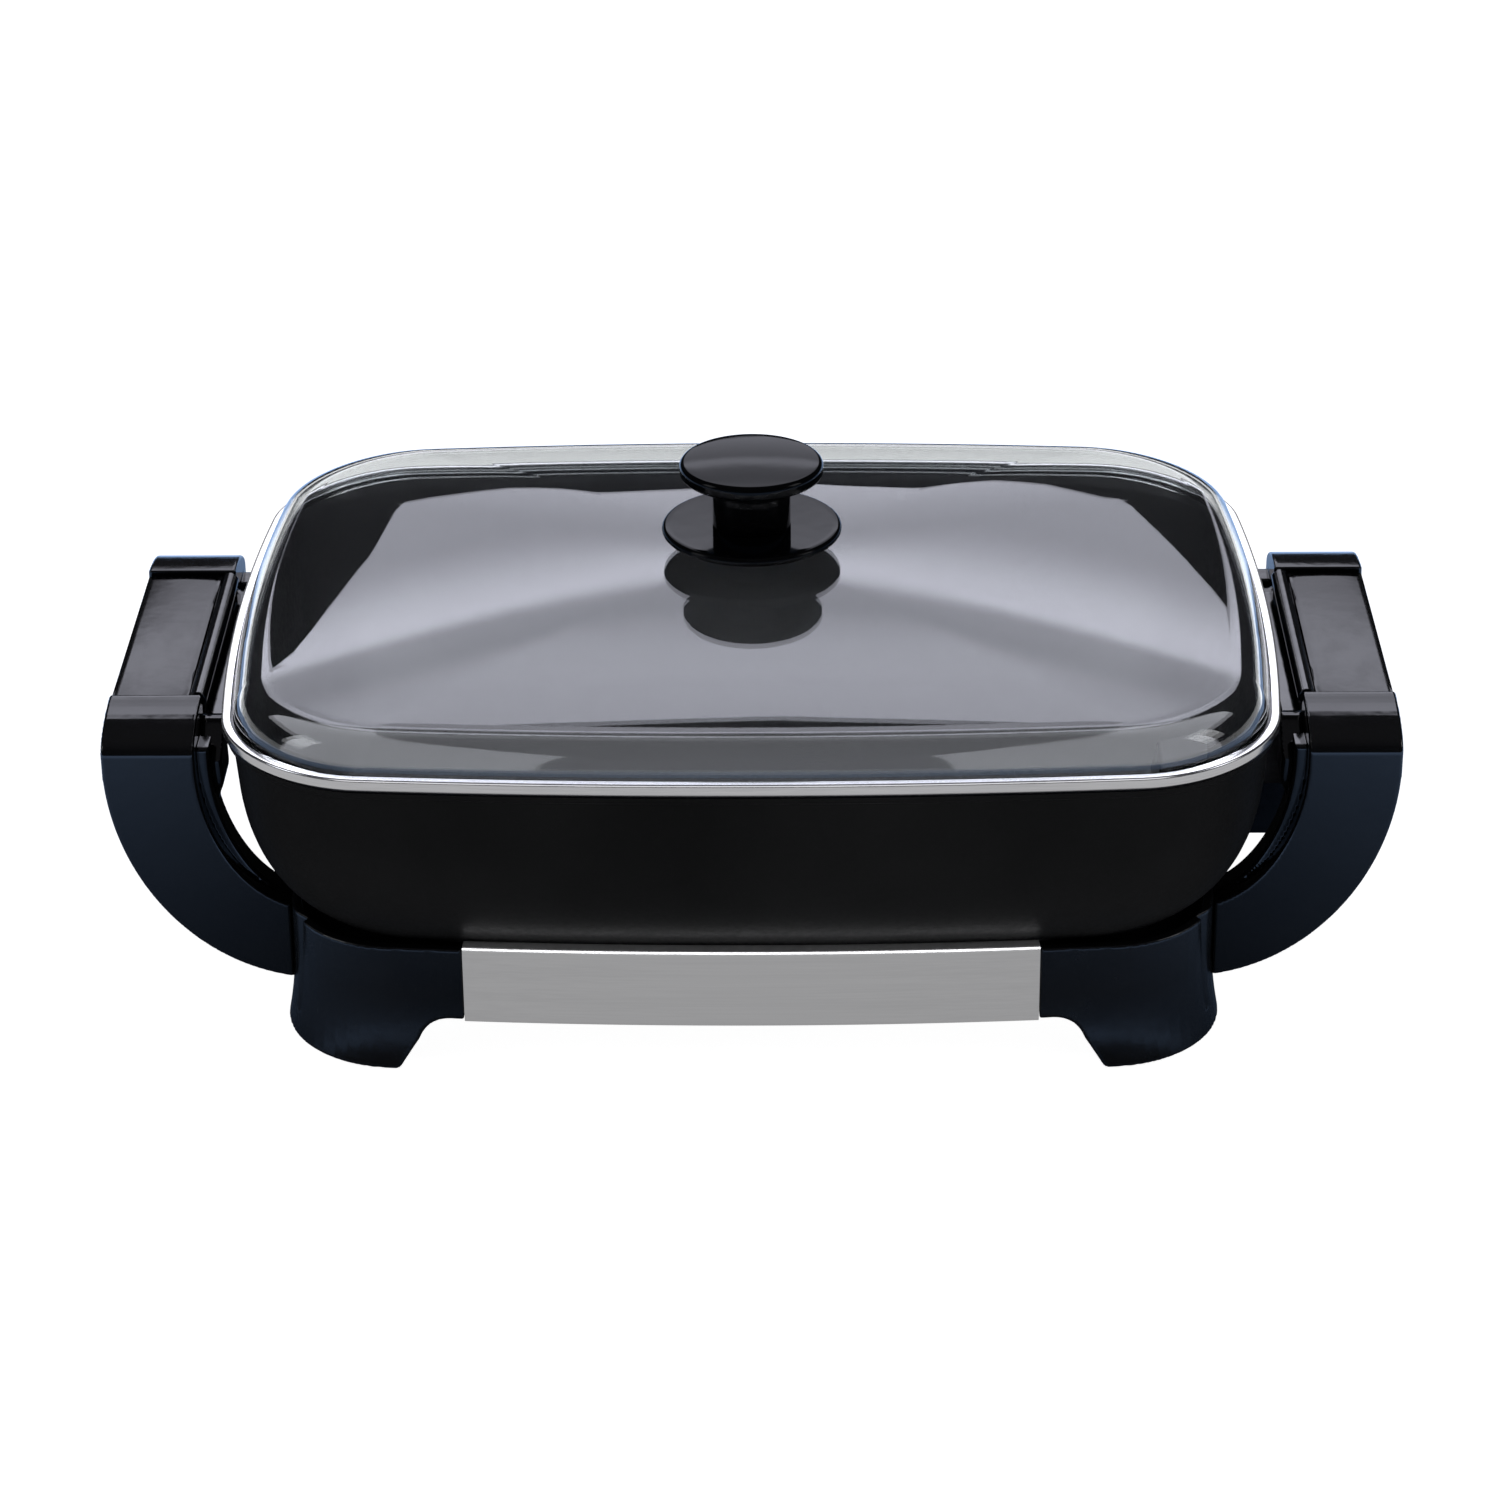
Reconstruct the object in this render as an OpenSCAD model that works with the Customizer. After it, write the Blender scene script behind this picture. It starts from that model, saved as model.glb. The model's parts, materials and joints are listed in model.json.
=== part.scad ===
// Electric skillet griddle: a cast rectangular pan on four corner legs, with steel strips
// between the legs, hooped side handles, a domed glass lid and a plug-in heat control.
// Millimetres, +Z up, +X right, front at -Y. The origin is on the table, under the middle.

/* [Rim outline] */
// Half of the rim's length, left to right, at its widest
rim_half_x = 200; // [180:1:240]
// Half of the rim's depth, front to back, at its widest
rim_half_y = 147.5; // [130:0.5:178]
// Corner radius of the rim before its sides are bowed
rim_corner = 48; // [40:1:60]
// How far each short side of the rim bows outward
rim_bow_x = 10; // [6:0.5:14]
// How far each long side of the rim bows outward
rim_bow_y = 9; // [6:0.5:13]

/* [Pan] */
// Height of the pan's underside above the table
stand_h = 43; // [40:0.5:52]
// Outer depth of the pan, underside to rim
pan_depth = 82; // [68:1:99]
// Thickness of the pan's casting
pan_wall = 2.8; // [2.3:0.1:3.4]
// How far the rounding at the foot of the pan's wall runs inward
pan_round_run = 34; // [28:1:40]
// How far the rounding at the foot of the pan's wall rises
pan_round_rise = 60; // [50:1:64]
// Height of the thickened rim
rim_h = 3.5; // [3:0.1:5]
// How far the thickened rim stands out from the wall
rim_lip = 2; // [1.5:0.1:3]

/* [Lid] */
// Height of the steel band around the glass
band_h = 4.4; // [4.2:0.1:5.4]
// Thickness of the band's sheet
band_t = 0.7; // [0.5:0.05:0.8]
// Thickness of the glass
glass_t = 2.8; // [2.2:0.1:2.9]
// Rise of the steep outer wall of the glass
lid_wall_rise = 15; // [12:0.5:18]
// Run of the steep outer wall of the glass
lid_wall_run = 12; // [10:0.5:15]
// Rise of the dome from the glass shoulder to its middle
lid_dome_rise = 13; // [10:0.5:16]
// Radius of the hole in the middle of the glass
glass_hole_r = 4.3; // [3.6:0.1:5]

/* [Knob] */
// Radius of the knob's lower disc
skirt_r = 34.5; // [29:0.5:41]
// Thickness of the lower disc at its edge
skirt_t = 3.6; // [3:0.1:4.5]
// Height of the lower disc's top above the glass
skirt_top = 10.4; // [9:0.1:12.5]
// Radius of the knob's upper disc
knob_r = 27.5; // [23:0.5:33]
// Thickness of the upper disc at its edge
knob_t = 6; // [5:0.1:7.2]
// Radius of the knob's stem
stem_r = 15; // [12.5:0.5:18]
// Height of the upper disc's edge above the lower disc's top
knob_h = 26; // [22:0.5:31]

/* [Handles] */
// Width of a handle, rim side to outside
handle_w = 42.5; // [40:0.5:46]
// Half of a handle's length, front to back
handle_half_y = 87; // [82:0.5:92]
// How far a handle's top lies below the rim
handle_drop = 3; // [2:0.5:6]
// Width of an arm, seen from the front
arm_w = 35; // [30:0.5:36]
// Depth of an arm, front to back
arm_d = 19; // [16:0.5:22]
// Length of the block at the top of an arm, front to back
arm_block = 31; // [28:0.5:34]
// How far the top of an arm's block falls away towards its end
arm_nose_h = 11; // [8:0.5:13]
// Thickness of the grip panel
panel_t = 2; // [1.6:0.1:2.4]
// Radius of the rib beside the grip panel
rib_r = 3.4; // [2.8:0.1:4]

/* [Base] */
// How far the side of the base lies inside the rim
base_in_x = 25; // [22:0.5:28]
// How far the front of the base lies inside the rim
base_in_y = 19; // [17:0.5:22]
// Corner radius of the base
base_corner = 38; // [34:0.5:42]
// How far the front of the base bows outward
base_bow = 10; // [7:0.5:12]
// Height of a leg above the table
leg_h = 49.6; // [47:0.2:52]
// Thickness of a leg's wall
leg_wall = 4; // [3.4:0.1:4.8]
// Height of the arch between the feet
arch_h = 20; // [16.7:0.5:24]
// Width of the step from a foot's inner corner up to the arch
arch_run = 18.5; // [15:0.5:22]
// How far back a leg reaches along the side
leg_back = 58; // [54:0.5:64]
// Length of a steel strip, left to right
strip_len = 214.4; // [180:0.5:222]
// Height of a steel strip
strip_h = 32; // [27:0.5:34]
// Thickness of a steel strip's sheet
strip_t = 1; // [0.8:0.1:1.2]
// Depth of the fold along a strip's top and bottom edges
strip_fold = 5.5; // [4:0.5:6]
// Width of the steel rails under the pan
rail_w = 20; // [18:0.5:24]
// Thickness of the steel rails under the pan
rail_t = 2; // [1.6:0.1:2.4]
// Height of the cast bosses between pan and rails
boss_h = 10; // [9:0.5:12]
// Radius of a rubber foot pad
pad_r = 9; // [7.5:0.5:10.5]
// How far a rubber foot pad stands below its leg
pad_proud = 0.8; // [0.6:0.1:1]

/* [Heater and socket] */
// Radius of the heating element's sheath
sheath_r = 3.5; // [3:0.1:4]
// Half of the element loop's length, left to right
loop_half_x = 110; // [92:1:113]
// Half of the element loop's depth, front to back
loop_half_y = 60; // [50:1:66]
// Radius of the element's bends
loop_bend = 16; // [14:0.5:20]
// Half of the distance between the terminal pins
pin_half_y = 12; // [11:0.5:14]
// Radius of a terminal pin
pin_r = 2; // [1.8:0.1:2.2]
// Radius of the temperature probe
probe_r = 3.1; // [2.6:0.1:3.4]
// Length of the socket guard, left to right
guard_len = 20; // [17:0.5:24]

/* [Heat control] */
// Width of the control's case, front to back
case_w = 44; // [42:0.5:54]
// Height of the control's case
case_h = 22; // [21:0.5:25]
// Length of the control's case outside the guard
case_len = 26; // [24:0.5:28]
// Thickness of the case's wall
case_wall = 2; // [1.8:0.1:2.4]
// Radius of the dial
dial_r = 10; // [9:0.5:10.4]
// Thickness of the dial
dial_t = 4.6; // [4:0.1:5]
// Radius of the dial's shaft
shaft_r = 2.5; // [2.2:0.1:2.8]

/* [Fits] */
// Gap between a sliding piece and what it slides past
slide_gap = 0.3; // [0.25:0.05:0.4]
// Gap on the radius of a turning shaft
turn_gap = 0.06; // [0.04:0.01:0.08]
// Gap on the radius of a screw in its hole
screw_gap = 0.05; // [0.03:0.01:0.08]

/* [Hidden] */

// Smoothness of round solids, and of the rims that lofts follow
$fn = 48;
corner_steps = 10;
long_steps = 10;
short_steps = 7;
round_steps = 8;

// Heights of the main levels
pan_top = stand_h + pan_depth;
handle_top = pan_top - handle_drop;
band_z = pan_top + slide_gap;
band_top = band_z + band_h;
glass_edge_z = band_z + band_t;
glass_lip_z = glass_edge_z + glass_t;
shoulder_z = glass_lip_z + lid_wall_rise;
dome_z = shoulder_z + lid_dome_rise;
gasket_t = 0.6;
gasket_r = 11;
glass_land_r = gasket_r + 1.5;
knob_shank_r = 2.4;
knob_washer_t = 0.8;
knob_head_h = 2.6;
skirt_base_z = dome_z + gasket_t;
skirt_top_z = dome_z + skirt_top;
knob_edge_z = skirt_top_z + knob_h;

// Insets from the rim outline
band_lip = 3.4;
band_under = 5.4;
band_edge = 0.8;
glass_in = band_t + 0.3;
glass_wall_in = band_lip + 0.6;
shoulder_in = glass_wall_in + lid_wall_run;
pan_lip_in = 1.5;
pan_wall_in = pan_lip_in + rim_lip;
pan_taper = 0.055;
corner_shrink = 0.35;

// Screws: radius of the shank, radius and height of the head
shank_r = 1.9;
head_r = 3.6;
head_h = 2.2;

// Outside of the base
base_x = rim_half_x - base_in_x;
base_y = rim_half_y - base_in_y;

// Handles
handle_out = rim_half_x + handle_w;
arm_in = handle_out - arm_w;
arm_mid_x = base_x - 10;
arm_mid_z = handle_top - 16;
arm_web = 4.5;
arm_face_d = 7;
arm_cove = 6;
arm_cove_h = 8;
arm_low_z = 16;
arm_root_h = 30.5;
arm_back = handle_half_y - arm_block;
grip_floor = 26;
grip_wall = 3;
panel_in = 29;
panel_out = handle_out - 0.3;
panel_low = handle_top - panel_t - 1.6;
panel_screw_x = handle_out - 13;
panel_screw_y = [-36, 36];
rib_x = panel_out - panel_in - slide_gap - rib_r;
ledge_in = rim_half_x - 0.6;
ledge_z = handle_top - 9.5;
ledge_t = 3.4;
fascia_drop = 18;
fascia_rake = 0.6;
fascia_foot = 10;
arm_screw_z = [arm_low_z + 8, arm_low_z + 19];
arm_screw_y = handle_half_y - arm_d / 2 - 1.5;
arm_screw_len = 18;

// Base
leg_z = pad_proud;
pad_h = leg_z + 1.5;
arch_fillet = 12;
strip_half = strip_len / 2;
strip_z = arch_h - 1;
strip_top = strip_z + strip_h;
strip_proud = 0.8;
strip_end_gap = 0.2;
rail_x = base_x - 45;
rail_slot_w = 8;
rail_z = stand_h - boss_h - rail_t;
boss_r = 7.5;
boss_y = base_y - 44.5;
shelf_h = 6;
shelf_y = base_y - 25.5;
sole_h = 4;
deck_t = 3;
deck_in = 22;
deck_z = stand_h - slide_gap - deck_t;
foot_x = base_x - 25;
foot_y = base_y - 32;
tab_len = 12;
tab_x = strip_half + tab_len / 2;
tab_h = 18;
tab_edge = 4.5;
tab_z = min(arch_h + 1, deck_z - tab_h - 0.5);
tab_y = base_y - leg_wall - 0.1 - base_bow * pow((strip_half + tab_len) / (base_x - leg_wall), 2);
tab_step = base_y - base_bow * pow(strip_half / base_x, 2) + 0.3 - tab_y;
strip_screw_z = [tab_z + tab_edge, tab_z + tab_h - tab_edge];

// Heater and socket
socket_z = stand_h + 11.5;
lug_out = rim_half_x - 12;
lug_len = 23;
lug_w = case_w - 3;
lug_h = case_h - 1;
pin_z = socket_z + 3;
probe_z = socket_z - 5;
pin_out = 14;
probe_in = 12;
bush_r = 4.4;
bush_len = 6;
guard_t = 1.6;
guard_out = lug_out + guard_len;
guard_thread = 5.5;
guard_screw_at = [[0, 5.6], [-14, -5.5], [14, -5.5]];

// Heat control
case_in = guard_out + 2;
case_out = case_in + case_len;
nose_in = lug_out + guard_t + head_h + slide_gap;
nose_w = case_w - 2 * (guard_t + slide_gap);
nose_h = case_h - 2 * (guard_t + slide_gap);
nose_z = socket_z - nose_h / 2;
sleeve_r = 3.4;
lens_y = case_w / 2 - 7.5;
lens_r = 3;
lamp_r = 2;
gland_x = case_out - 10;
gland_r = 5;
gland_flange_r = gland_r + 1.4;
gland_bore_r = 3;
case_screw_x = case_in + 5;
case_screw_y = case_w / 2 - 6;

// ---------- shared shapes ----------

// Points of a rounded rectangle, half sizes a and b, corner radius r
function rounded_path(a, b, r) = [
    for (q = [0:3])
        let (sx = (q == 0 || q == 3) ? 1 : -1,
             sy = q < 2 ? 1 : -1,
             cx = sx * (a - r),
             cy = sy * (b - r),
             steps = q % 2 == 0 ? long_steps : short_steps,
             far = q % 2 == 0 ? [-sx * (a - r), sy * b] : [sx * a, -sy * (b - r)],
             near = [cx + r * cos(90 * q + 90), cy + r * sin(90 * q + 90)])
        each concat(
            [for (k = [0:corner_steps])
                let (t = 90 * q + 90 * k / corner_steps)
                [cx + r * cos(t), cy + r * sin(t)]],
            [for (j = [1:steps - 1]) near + (far - near) * j / steps])
];

// The same, with its sides bowed outward by bx and by
function bowed_path(a, b, r, bx, by) = [
    for (p = rounded_path(a - bx, b - by, r))
        [p.x + sign(p.x) * bx * (1 - pow(p.y / (b - by), 2)),
         p.y + sign(p.y) * by * (1 - pow(p.x / (a - bx), 2))]
];

// The rim outline pulled in by d, at height z
function rim_ring(d, z) = [
    for (p = bowed_path(rim_half_x - d, rim_half_y - d,
                        rim_corner - corner_shrink * d, rim_bow_x, rim_bow_y))
        [p.x, p.y, z]
];

// The glass shoulder's outline shrunk by the factor s, at height z
function dome_ring(s, z) = [for (p = rim_ring(shoulder_in, 0)) [p.x * s, p.y * s, z]];

// A round ring with as many points, for the hole in the glass
function hole_ring(r, z) = [
    for (p = rim_ring(shoulder_in, 0))
        let (t = atan2(p.y, p.x)) [r * cos(t), r * sin(t), z]
];

// A solid through rings of points, closed on itself or capped at both ends
module loft(rings, closed = false) {
    n = len(rings[0]);
    m = len(rings);
    sides = [
        for (j = [0:m - (closed ? 1 : 2)])
            for (i = [0:n - 1])
                let (a = j * n + i, b = j * n + (i + 1) % n,
                     c = (j + 1) % m * n + (i + 1) % n, d = (j + 1) % m * n + i)
                each [[a, d, c], [a, c, b]]
    ];
    ends = closed ? [] : [[for (i = [0:n - 1]) i], [for (i = [n - 1:-1:0]) (m - 1) * n + i]];
    polyhedron([for (ring = rings) each ring], concat(sides, ends));
}

// The base's outline in plan, pulled in by d
module base_plan(d) {
    polygon(bowed_path(base_x - d, base_y - d, base_corner - d, 0, base_bow));
}

// A flat bar from corner a to corner b
module bar(a, b) {
    translate(a) cube(b - a);
}

// A cylinder along +X from the point a
module rod_x(a, length, r) {
    translate(a) rotate([0, 90, 0]) cylinder(h = length, r = r);
}

// A cylinder along +Y from the point a
module rod_y(a, length, r) {
    translate(a) rotate([-90, 0, 0]) cylinder(h = length, r = r);
}

// Draws its child for the right side, or mirrored for the left
module on_side(side) {
    if (side > 0) children();
    else mirror([1, 0, 0]) children();
}

// Draws its child for the rear, or mirrored for the front
module on_end(end) {
    if (end > 0) children();
    else mirror([0, 1, 0]) children();
}

// Draws its child in all four quarters
module four_ways() {
    for (side = [-1, 1])
        for (end = [-1, 1])
            on_side(side) on_end(end) children();
}

// A pan-head screw pointing down, its head's underside at the origin
module screw(length) {
    difference() {
        union() {
            cylinder(h = head_h, r = head_r);
            translate([0, 0, -length]) cylinder(h = length, r = shank_r);
        }
        for (turn = [0, 90])
            rotate(turn) translate([-head_r / 2, -0.5, head_h - 1]) cube([head_r, 1, 2]);
    }
}

// ---------- pan and heater ----------

// Inset of the pan's outer wall at a height above its underside, its foot rounding left out
function wall_in(h) = pan_wall_in + pan_taper * (pan_depth - h);

// Rings of the pan's foot rounding, for a skin that lies in by w from the outside
function foot_rings(w) = [
    for (k = [0:round_steps])
        let (t = 90 * k / round_steps, h = pan_round_rise * (1 - cos(t)))
        rim_ring(wall_in(h) + pan_round_run * (1 - sin(t)) + w * sin(t),
                 stand_h + h + w * cos(t))
];

module pan_outside() {
    loft(concat(foot_rings(0),
                [rim_ring(pan_wall_in, pan_top - rim_h - 1),
                 rim_ring(pan_lip_in, pan_top - rim_h),
                 rim_ring(pan_lip_in, pan_top)]));
}

module pan_inside() {
    loft(concat(foot_rings(pan_wall),
                [rim_ring(pan_wall_in + pan_wall, pan_top - rim_h - 1),
                 rim_ring(pan_wall_in + pan_wall - 1, pan_top + 1)]));
}

// Cast bosses for the rail screws, and the lug that carries the socket
module pan_bosses() {
    four_ways() translate([rail_x, boss_y, stand_h - boss_h]) cylinder(h = boss_h + 1, r = boss_r);
    bar([lug_out - lug_len, -lug_w / 2, socket_z - lug_h / 2],
        [lug_out, lug_w / 2, socket_z + lug_h / 2]);
}

module pan_holes() {
    four_ways() translate([rail_x, boss_y, stand_h - boss_h - 1])
        cylinder(h = boss_h, r = shank_r + screw_gap);
    rod_x([lug_out - probe_in - 1, 0, probe_z], probe_in + 2, probe_r + slide_gap);
    for (side = [-1, 1])
        rod_x([lug_out - bush_len, side * pin_half_y, pin_z], bush_len + 1, bush_r);
    guard_screw_places() translate([0, 0, -guard_thread - 1])
        cylinder(h = guard_thread + 3, r = shank_r + screw_gap);
}

// Where the guard's screws go, seen along the screw from its head
module guard_screw_places() {
    for (p = guard_screw_at)
        translate([lug_out, p.x, socket_z + p.y]) rotate([0, 90, 0]) children();
}

module pan() {
    color("#1b1c1f") difference() {
        union() {
            pan_outside();
            pan_bosses();
        }
        pan_inside();
        pan_holes();
    }
}

// A quarter bend of the element's sheath about the point p, starting at angle t
module sheath_bend(p, t) {
    translate(p) rotate(t) rotate_extrude(angle = 90)
        translate([loop_bend, 0]) circle(sheath_r);
}

module heating_element() {
    z = stand_h - sheath_r;
    run_x = loop_half_x - loop_bend;
    run_y = loop_half_y - loop_bend;
    tail_y = pin_half_y + loop_bend;
    color("#6a6a6c") for (end = [-1, 1]) on_end(end) {
        sheath_bend([-run_x, run_y, z], 90);
        sheath_bend([run_x, run_y, z], 0);
        sheath_bend([loop_half_x + loop_bend, tail_y, z], 180);
        rod_x([-run_x, loop_half_y, z], 2 * run_x, sheath_r);
        rod_y([-loop_half_x, 0, z], run_y, sheath_r);
        rod_y([loop_half_x, tail_y, z], run_y - tail_y, sheath_r);
        rod_x([loop_half_x + loop_bend, pin_half_y, z],
              lug_out - lug_len - loop_half_x - loop_bend, sheath_r);
    }
}

module terminal_pins() {
    color("#c9b178") for (side = [-1, 1]) {
        rod_x([lug_out - bush_len, side * pin_half_y, pin_z], bush_len + pin_out - 1, pin_r);
        translate([lug_out + pin_out - 1, side * pin_half_y, pin_z]) sphere(pin_r);
    }
}

module terminal_bushings() {
    color("#e8e4da") for (side = [-1, 1]) difference() {
        rod_x([lug_out - bush_len, side * pin_half_y, pin_z], bush_len + guard_t, bush_r);
        rod_x([lug_out - bush_len - 1, side * pin_half_y, pin_z], bush_len + 5, pin_r);
    }
}

module socket_guard() {
    color("#232427") difference() {
        bar([lug_out, -case_w / 2, socket_z - case_h / 2],
            [guard_out, case_w / 2, socket_z + case_h / 2]);
        bar([lug_out + guard_t, guard_t - case_w / 2, socket_z - case_h / 2 + guard_t],
            [guard_out + 1, case_w / 2 - guard_t, socket_z + case_h / 2 - guard_t]);
        rod_x([lug_out - 1, 0, probe_z], guard_t + 2, probe_r + slide_gap);
        for (side = [-1, 1])
            rod_x([lug_out - 1, side * pin_half_y, pin_z], guard_t + 2, bush_r);
        guard_screw_places() translate([0, 0, -1])
            cylinder(h = guard_t + 2, r = shank_r + screw_gap);
    }
}

module guard_screws() {
    color("#b8babd") guard_screw_places() translate([0, 0, guard_t])
        screw(guard_t + guard_thread);
}

// ---------- handles ----------

// Points of a quarter ellipse about the arm's centre, from its foot at x to its side
function arm_arc(rx, rz, x) = [
    for (k = [0:round_steps * 2])
        let (t0 = -acos((x - arm_mid_x) / rx), t = t0 * (1 - k / round_steps / 2))
        [arm_mid_x + rx * cos(t), arm_mid_z + rz * sin(t)]
];

// The arm seen from the front, web wider on the rim side: its foot is the flat end
// against the leg
module arm_face(web) {
    rx = handle_out - arm_mid_x;
    rz = arm_mid_z - arm_low_z;
    inner = arm_arc(rx - arm_w - web, rz - arm_root_h, base_x);
    polygon(concat(arm_arc(rx, rz, base_x),
                   [[handle_out, handle_top - arm_nose_h], [arm_in - web, handle_top - arm_nose_h]],
                   [for (k = [len(inner) - 1:-1:0]) inner[k]]));
}

// The block on top of an arm seen from the side, top falling away, underside coved
module block_side() {
    cove_z = arm_mid_z - arm_cove;
    polygon(concat(
        [[arm_back, cove_z + arm_cove_h]],
        [for (k = [0:round_steps])
            let (t = 90 - 90 * k / round_steps)
            [arm_back + arm_block * cos(t), handle_top - arm_nose_h + arm_nose_h * sin(t)]],
        [[handle_half_y, cove_z], [handle_half_y - arm_d, cove_z]],
        [for (k = [0:round_steps])
            let (t = 90 * k / round_steps, run = arm_block - arm_d)
            [arm_back + run - run * sin(t), cove_z + arm_cove_h - arm_cove_h * cos(t)]]));
}

// Turns a shape drawn in X and Z so that it runs along Y from y by depth
module along_y(y, depth) {
    translate([0, y + depth, 0]) rotate([90, 0, 0]) linear_extrude(depth) children();
}

// Turns a shape drawn in Y and Z so that it runs along X from x by width
module along_x(x, width) {
    translate([x, 0, 0]) rotate([90, 0, 90]) linear_extrude(width) children();
}

// The lower apron on the rim side, with its rounded foot, let into the grip's wall
module fascia_face() {
    far = arm_in + 2;
    polygon(concat(
        [[far, ledge_z], [ledge_in, ledge_z],
         [ledge_in - fascia_rake, ledge_z - fascia_drop]],
        [for (k = [0:round_steps])
            let (t = 180 + 90 * k / round_steps)
            [far + (far + fascia_rake - ledge_in) * cos(t),
             ledge_z - fascia_drop + fascia_foot * sin(t)]]));
}

// The grip seen from the front: an open channel with a rib and a ledge on the rim side
module grip_face() {
    polygon([[panel_out, panel_low], [panel_out, handle_top - grip_floor + 3],
             [panel_out - 1.5, handle_top - grip_floor],
             [panel_out - grip_wall, handle_top - grip_floor + 1],
             [panel_out - grip_wall, panel_low - grip_wall],
             [arm_in + 7, panel_low - grip_wall],
             [arm_in + 4, panel_low - grip_wall - 3],
             [arm_in + 4, handle_top - grip_floor + 2],
             [arm_in + 2.5, handle_top - grip_floor],
             [arm_in + 1, handle_top - grip_floor + 2],
             [arm_in + 1, ledge_z - ledge_t],
             [ledge_in + 1, ledge_z - ledge_t], [ledge_in, ledge_z - ledge_t + 1],
             [ledge_in, ledge_z - 1], [ledge_in + 1, ledge_z],
             [arm_in + 2.5, ledge_z], [arm_in + 2.5, panel_low]]);
    translate([rib_x, handle_top - rib_r]) circle(rib_r, $fn = 32);
}

// Where the screws of a grip panel go, seen from under the grip
module panel_screw_place() {
    for (y = panel_screw_y)
        translate([panel_screw_x, y, panel_low - grip_wall]) children();
}

module handle() {
    difference() {
        union() {
            for (end = [-1, 1]) on_end(end) {
                along_y(handle_half_y - arm_d, arm_d) arm_face(0);
                along_y(handle_half_y - arm_d, arm_d - arm_face_d) arm_face(arm_web);
                along_x(arm_in, arm_w) block_side();
                along_y(arm_back - 1, arm_block - arm_d + 5) fascia_face();
            }
            along_y(-arm_back, 2 * arm_back) grip_face();
        }
        four_ways() for (z = arm_screw_z)
            rod_x([base_x - 1, arm_screw_y, z], arm_screw_len, shank_r + screw_gap);
        panel_screw_place() translate([0, 0, -1])
            cylinder(h = grip_wall + 2, r = shank_r + screw_gap);
    }
}

module handle_left() { color("#0c0d10") on_side(-1) handle(); }
module handle_right() { color("#0c0d10") on_side(1) handle(); }

// The polished panel let into the top of a grip, crowned across its width
module grip_panel() {
    left = panel_out - panel_in;
    crown = 0.5;
    difference() {
        along_y(-arm_back + slide_gap, 2 * (arm_back - slide_gap))
            polygon(concat([[left, panel_low], [panel_out, panel_low]],
                [for (k = [0:round_steps])
                    let (u = k / round_steps)
                    [panel_out - 0.4 - u * (panel_in - 0.4),
                     panel_low + panel_t - crown + 4 * crown * u * (1 - u)]]));
        panel_screw_place() cylinder(h = grip_wall + panel_t - 0.8, r = shank_r + screw_gap);
    }
}

module grip_panel_left() { color("#16171a") on_side(-1) grip_panel(); }
module grip_panel_right() { color("#16171a") on_side(1) grip_panel(); }

module panel_screws() {
    color("#b8babd") for (side = [-1, 1]) on_side(side)
        panel_screw_place() rotate([180, 0, 0]) screw(grip_wall + panel_t - 1);
}

// ---------- base ----------

// The arch between the feet, seen from the front, for the right-hand leg
module arch_face() {
    foot = strip_half + strip_end_gap + arch_run + arch_fillet / 2;
    polygon(concat(
        [[0, -1], [foot, -1], [foot, leg_z]],
        [for (k = [0:round_steps])
            let (t = 20 + 70 * k / round_steps)
            [foot - arch_run + arch_fillet * (cos(t) - 0.05),
             arch_h - arch_fillet + arch_fillet * sin(t)]],
        [[0, arch_h]]));
}

// The notch between leg and arm: a square bar on edge that leans out towards its foot
module leg_notch() {
    translate([base_x + 3.2, handle_half_y + 5.5, leg_z + 9])
        rotate([0, -6, 0]) rotate([0, 0, 45]) cube([10, 10, stand_h * 2]);
}

// One leg, drawn for the rear right corner
module leg() {
    difference() {
        union() {
            intersection() {
                translate([0, 0, leg_z]) linear_extrude(leg_h - leg_z) difference() {
                    base_plan(0);
                    base_plan(leg_wall);
                }
                bar([strip_half + strip_end_gap, leg_back, 0],
                    [base_x + 1, base_y + 1, stand_h * 2]);
            }
            intersection() {
                translate([0, 0, deck_z]) linear_extrude(deck_t) difference() {
                    base_plan(1);
                    base_plan(deck_in);
                }
                bar([strip_half + strip_end_gap, leg_back, 0], [base_x, base_y, stand_h * 2]);
            }
            intersection() {
                translate([0, 0, leg_z]) linear_extrude(sole_h) base_plan(1);
                bar([foot_x - pad_r - leg_wall, foot_y - pad_r - leg_wall, 0],
                    [base_x, base_y, stand_h]);
            }
            intersection() {
                translate([0, 0, rail_z - shelf_h]) linear_extrude(shelf_h) base_plan(1);
                bar([rail_x - rail_w / 2, shelf_y - 8, 0],
                    [rail_x + rail_w / 2, base_y, stand_h]);
            }
        }
        along_y(base_y - base_corner, base_corner + 10) arch_face();
        leg_notch();
        translate([rail_x, shelf_y, rail_z - shelf_h - 1])
            cylinder(h = shelf_h + 2, r = shank_r + screw_gap);
        translate([foot_x, foot_y, -1])
            cylinder(h = 1 + pad_h, r = pad_r + screw_gap);
        for (z = arm_screw_z)
            rod_x([base_x - leg_wall - 1, arm_screw_y, z], leg_wall + 2, shank_r + screw_gap);
        for (z = strip_screw_z)
            rod_y([tab_x, tab_y - 1, z], leg_wall - 0.2, shank_r + screw_gap);
    }
}

module leg_front_left() { color("#101114") on_side(-1) on_end(-1) leg(); }
module leg_front_right() { color("#101114") on_side(1) on_end(-1) leg(); }
module leg_rear_left() { color("#101114") on_side(-1) on_end(1) leg(); }
module leg_rear_right() { color("#101114") on_side(1) on_end(1) leg(); }

module arm_screws() {
    color("#b8babd") four_ways() for (z = arm_screw_z)
        translate([base_x - leg_wall, arm_screw_y, z])
            rotate([0, -90, 0]) screw(arm_screw_len - 2);
}

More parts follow.
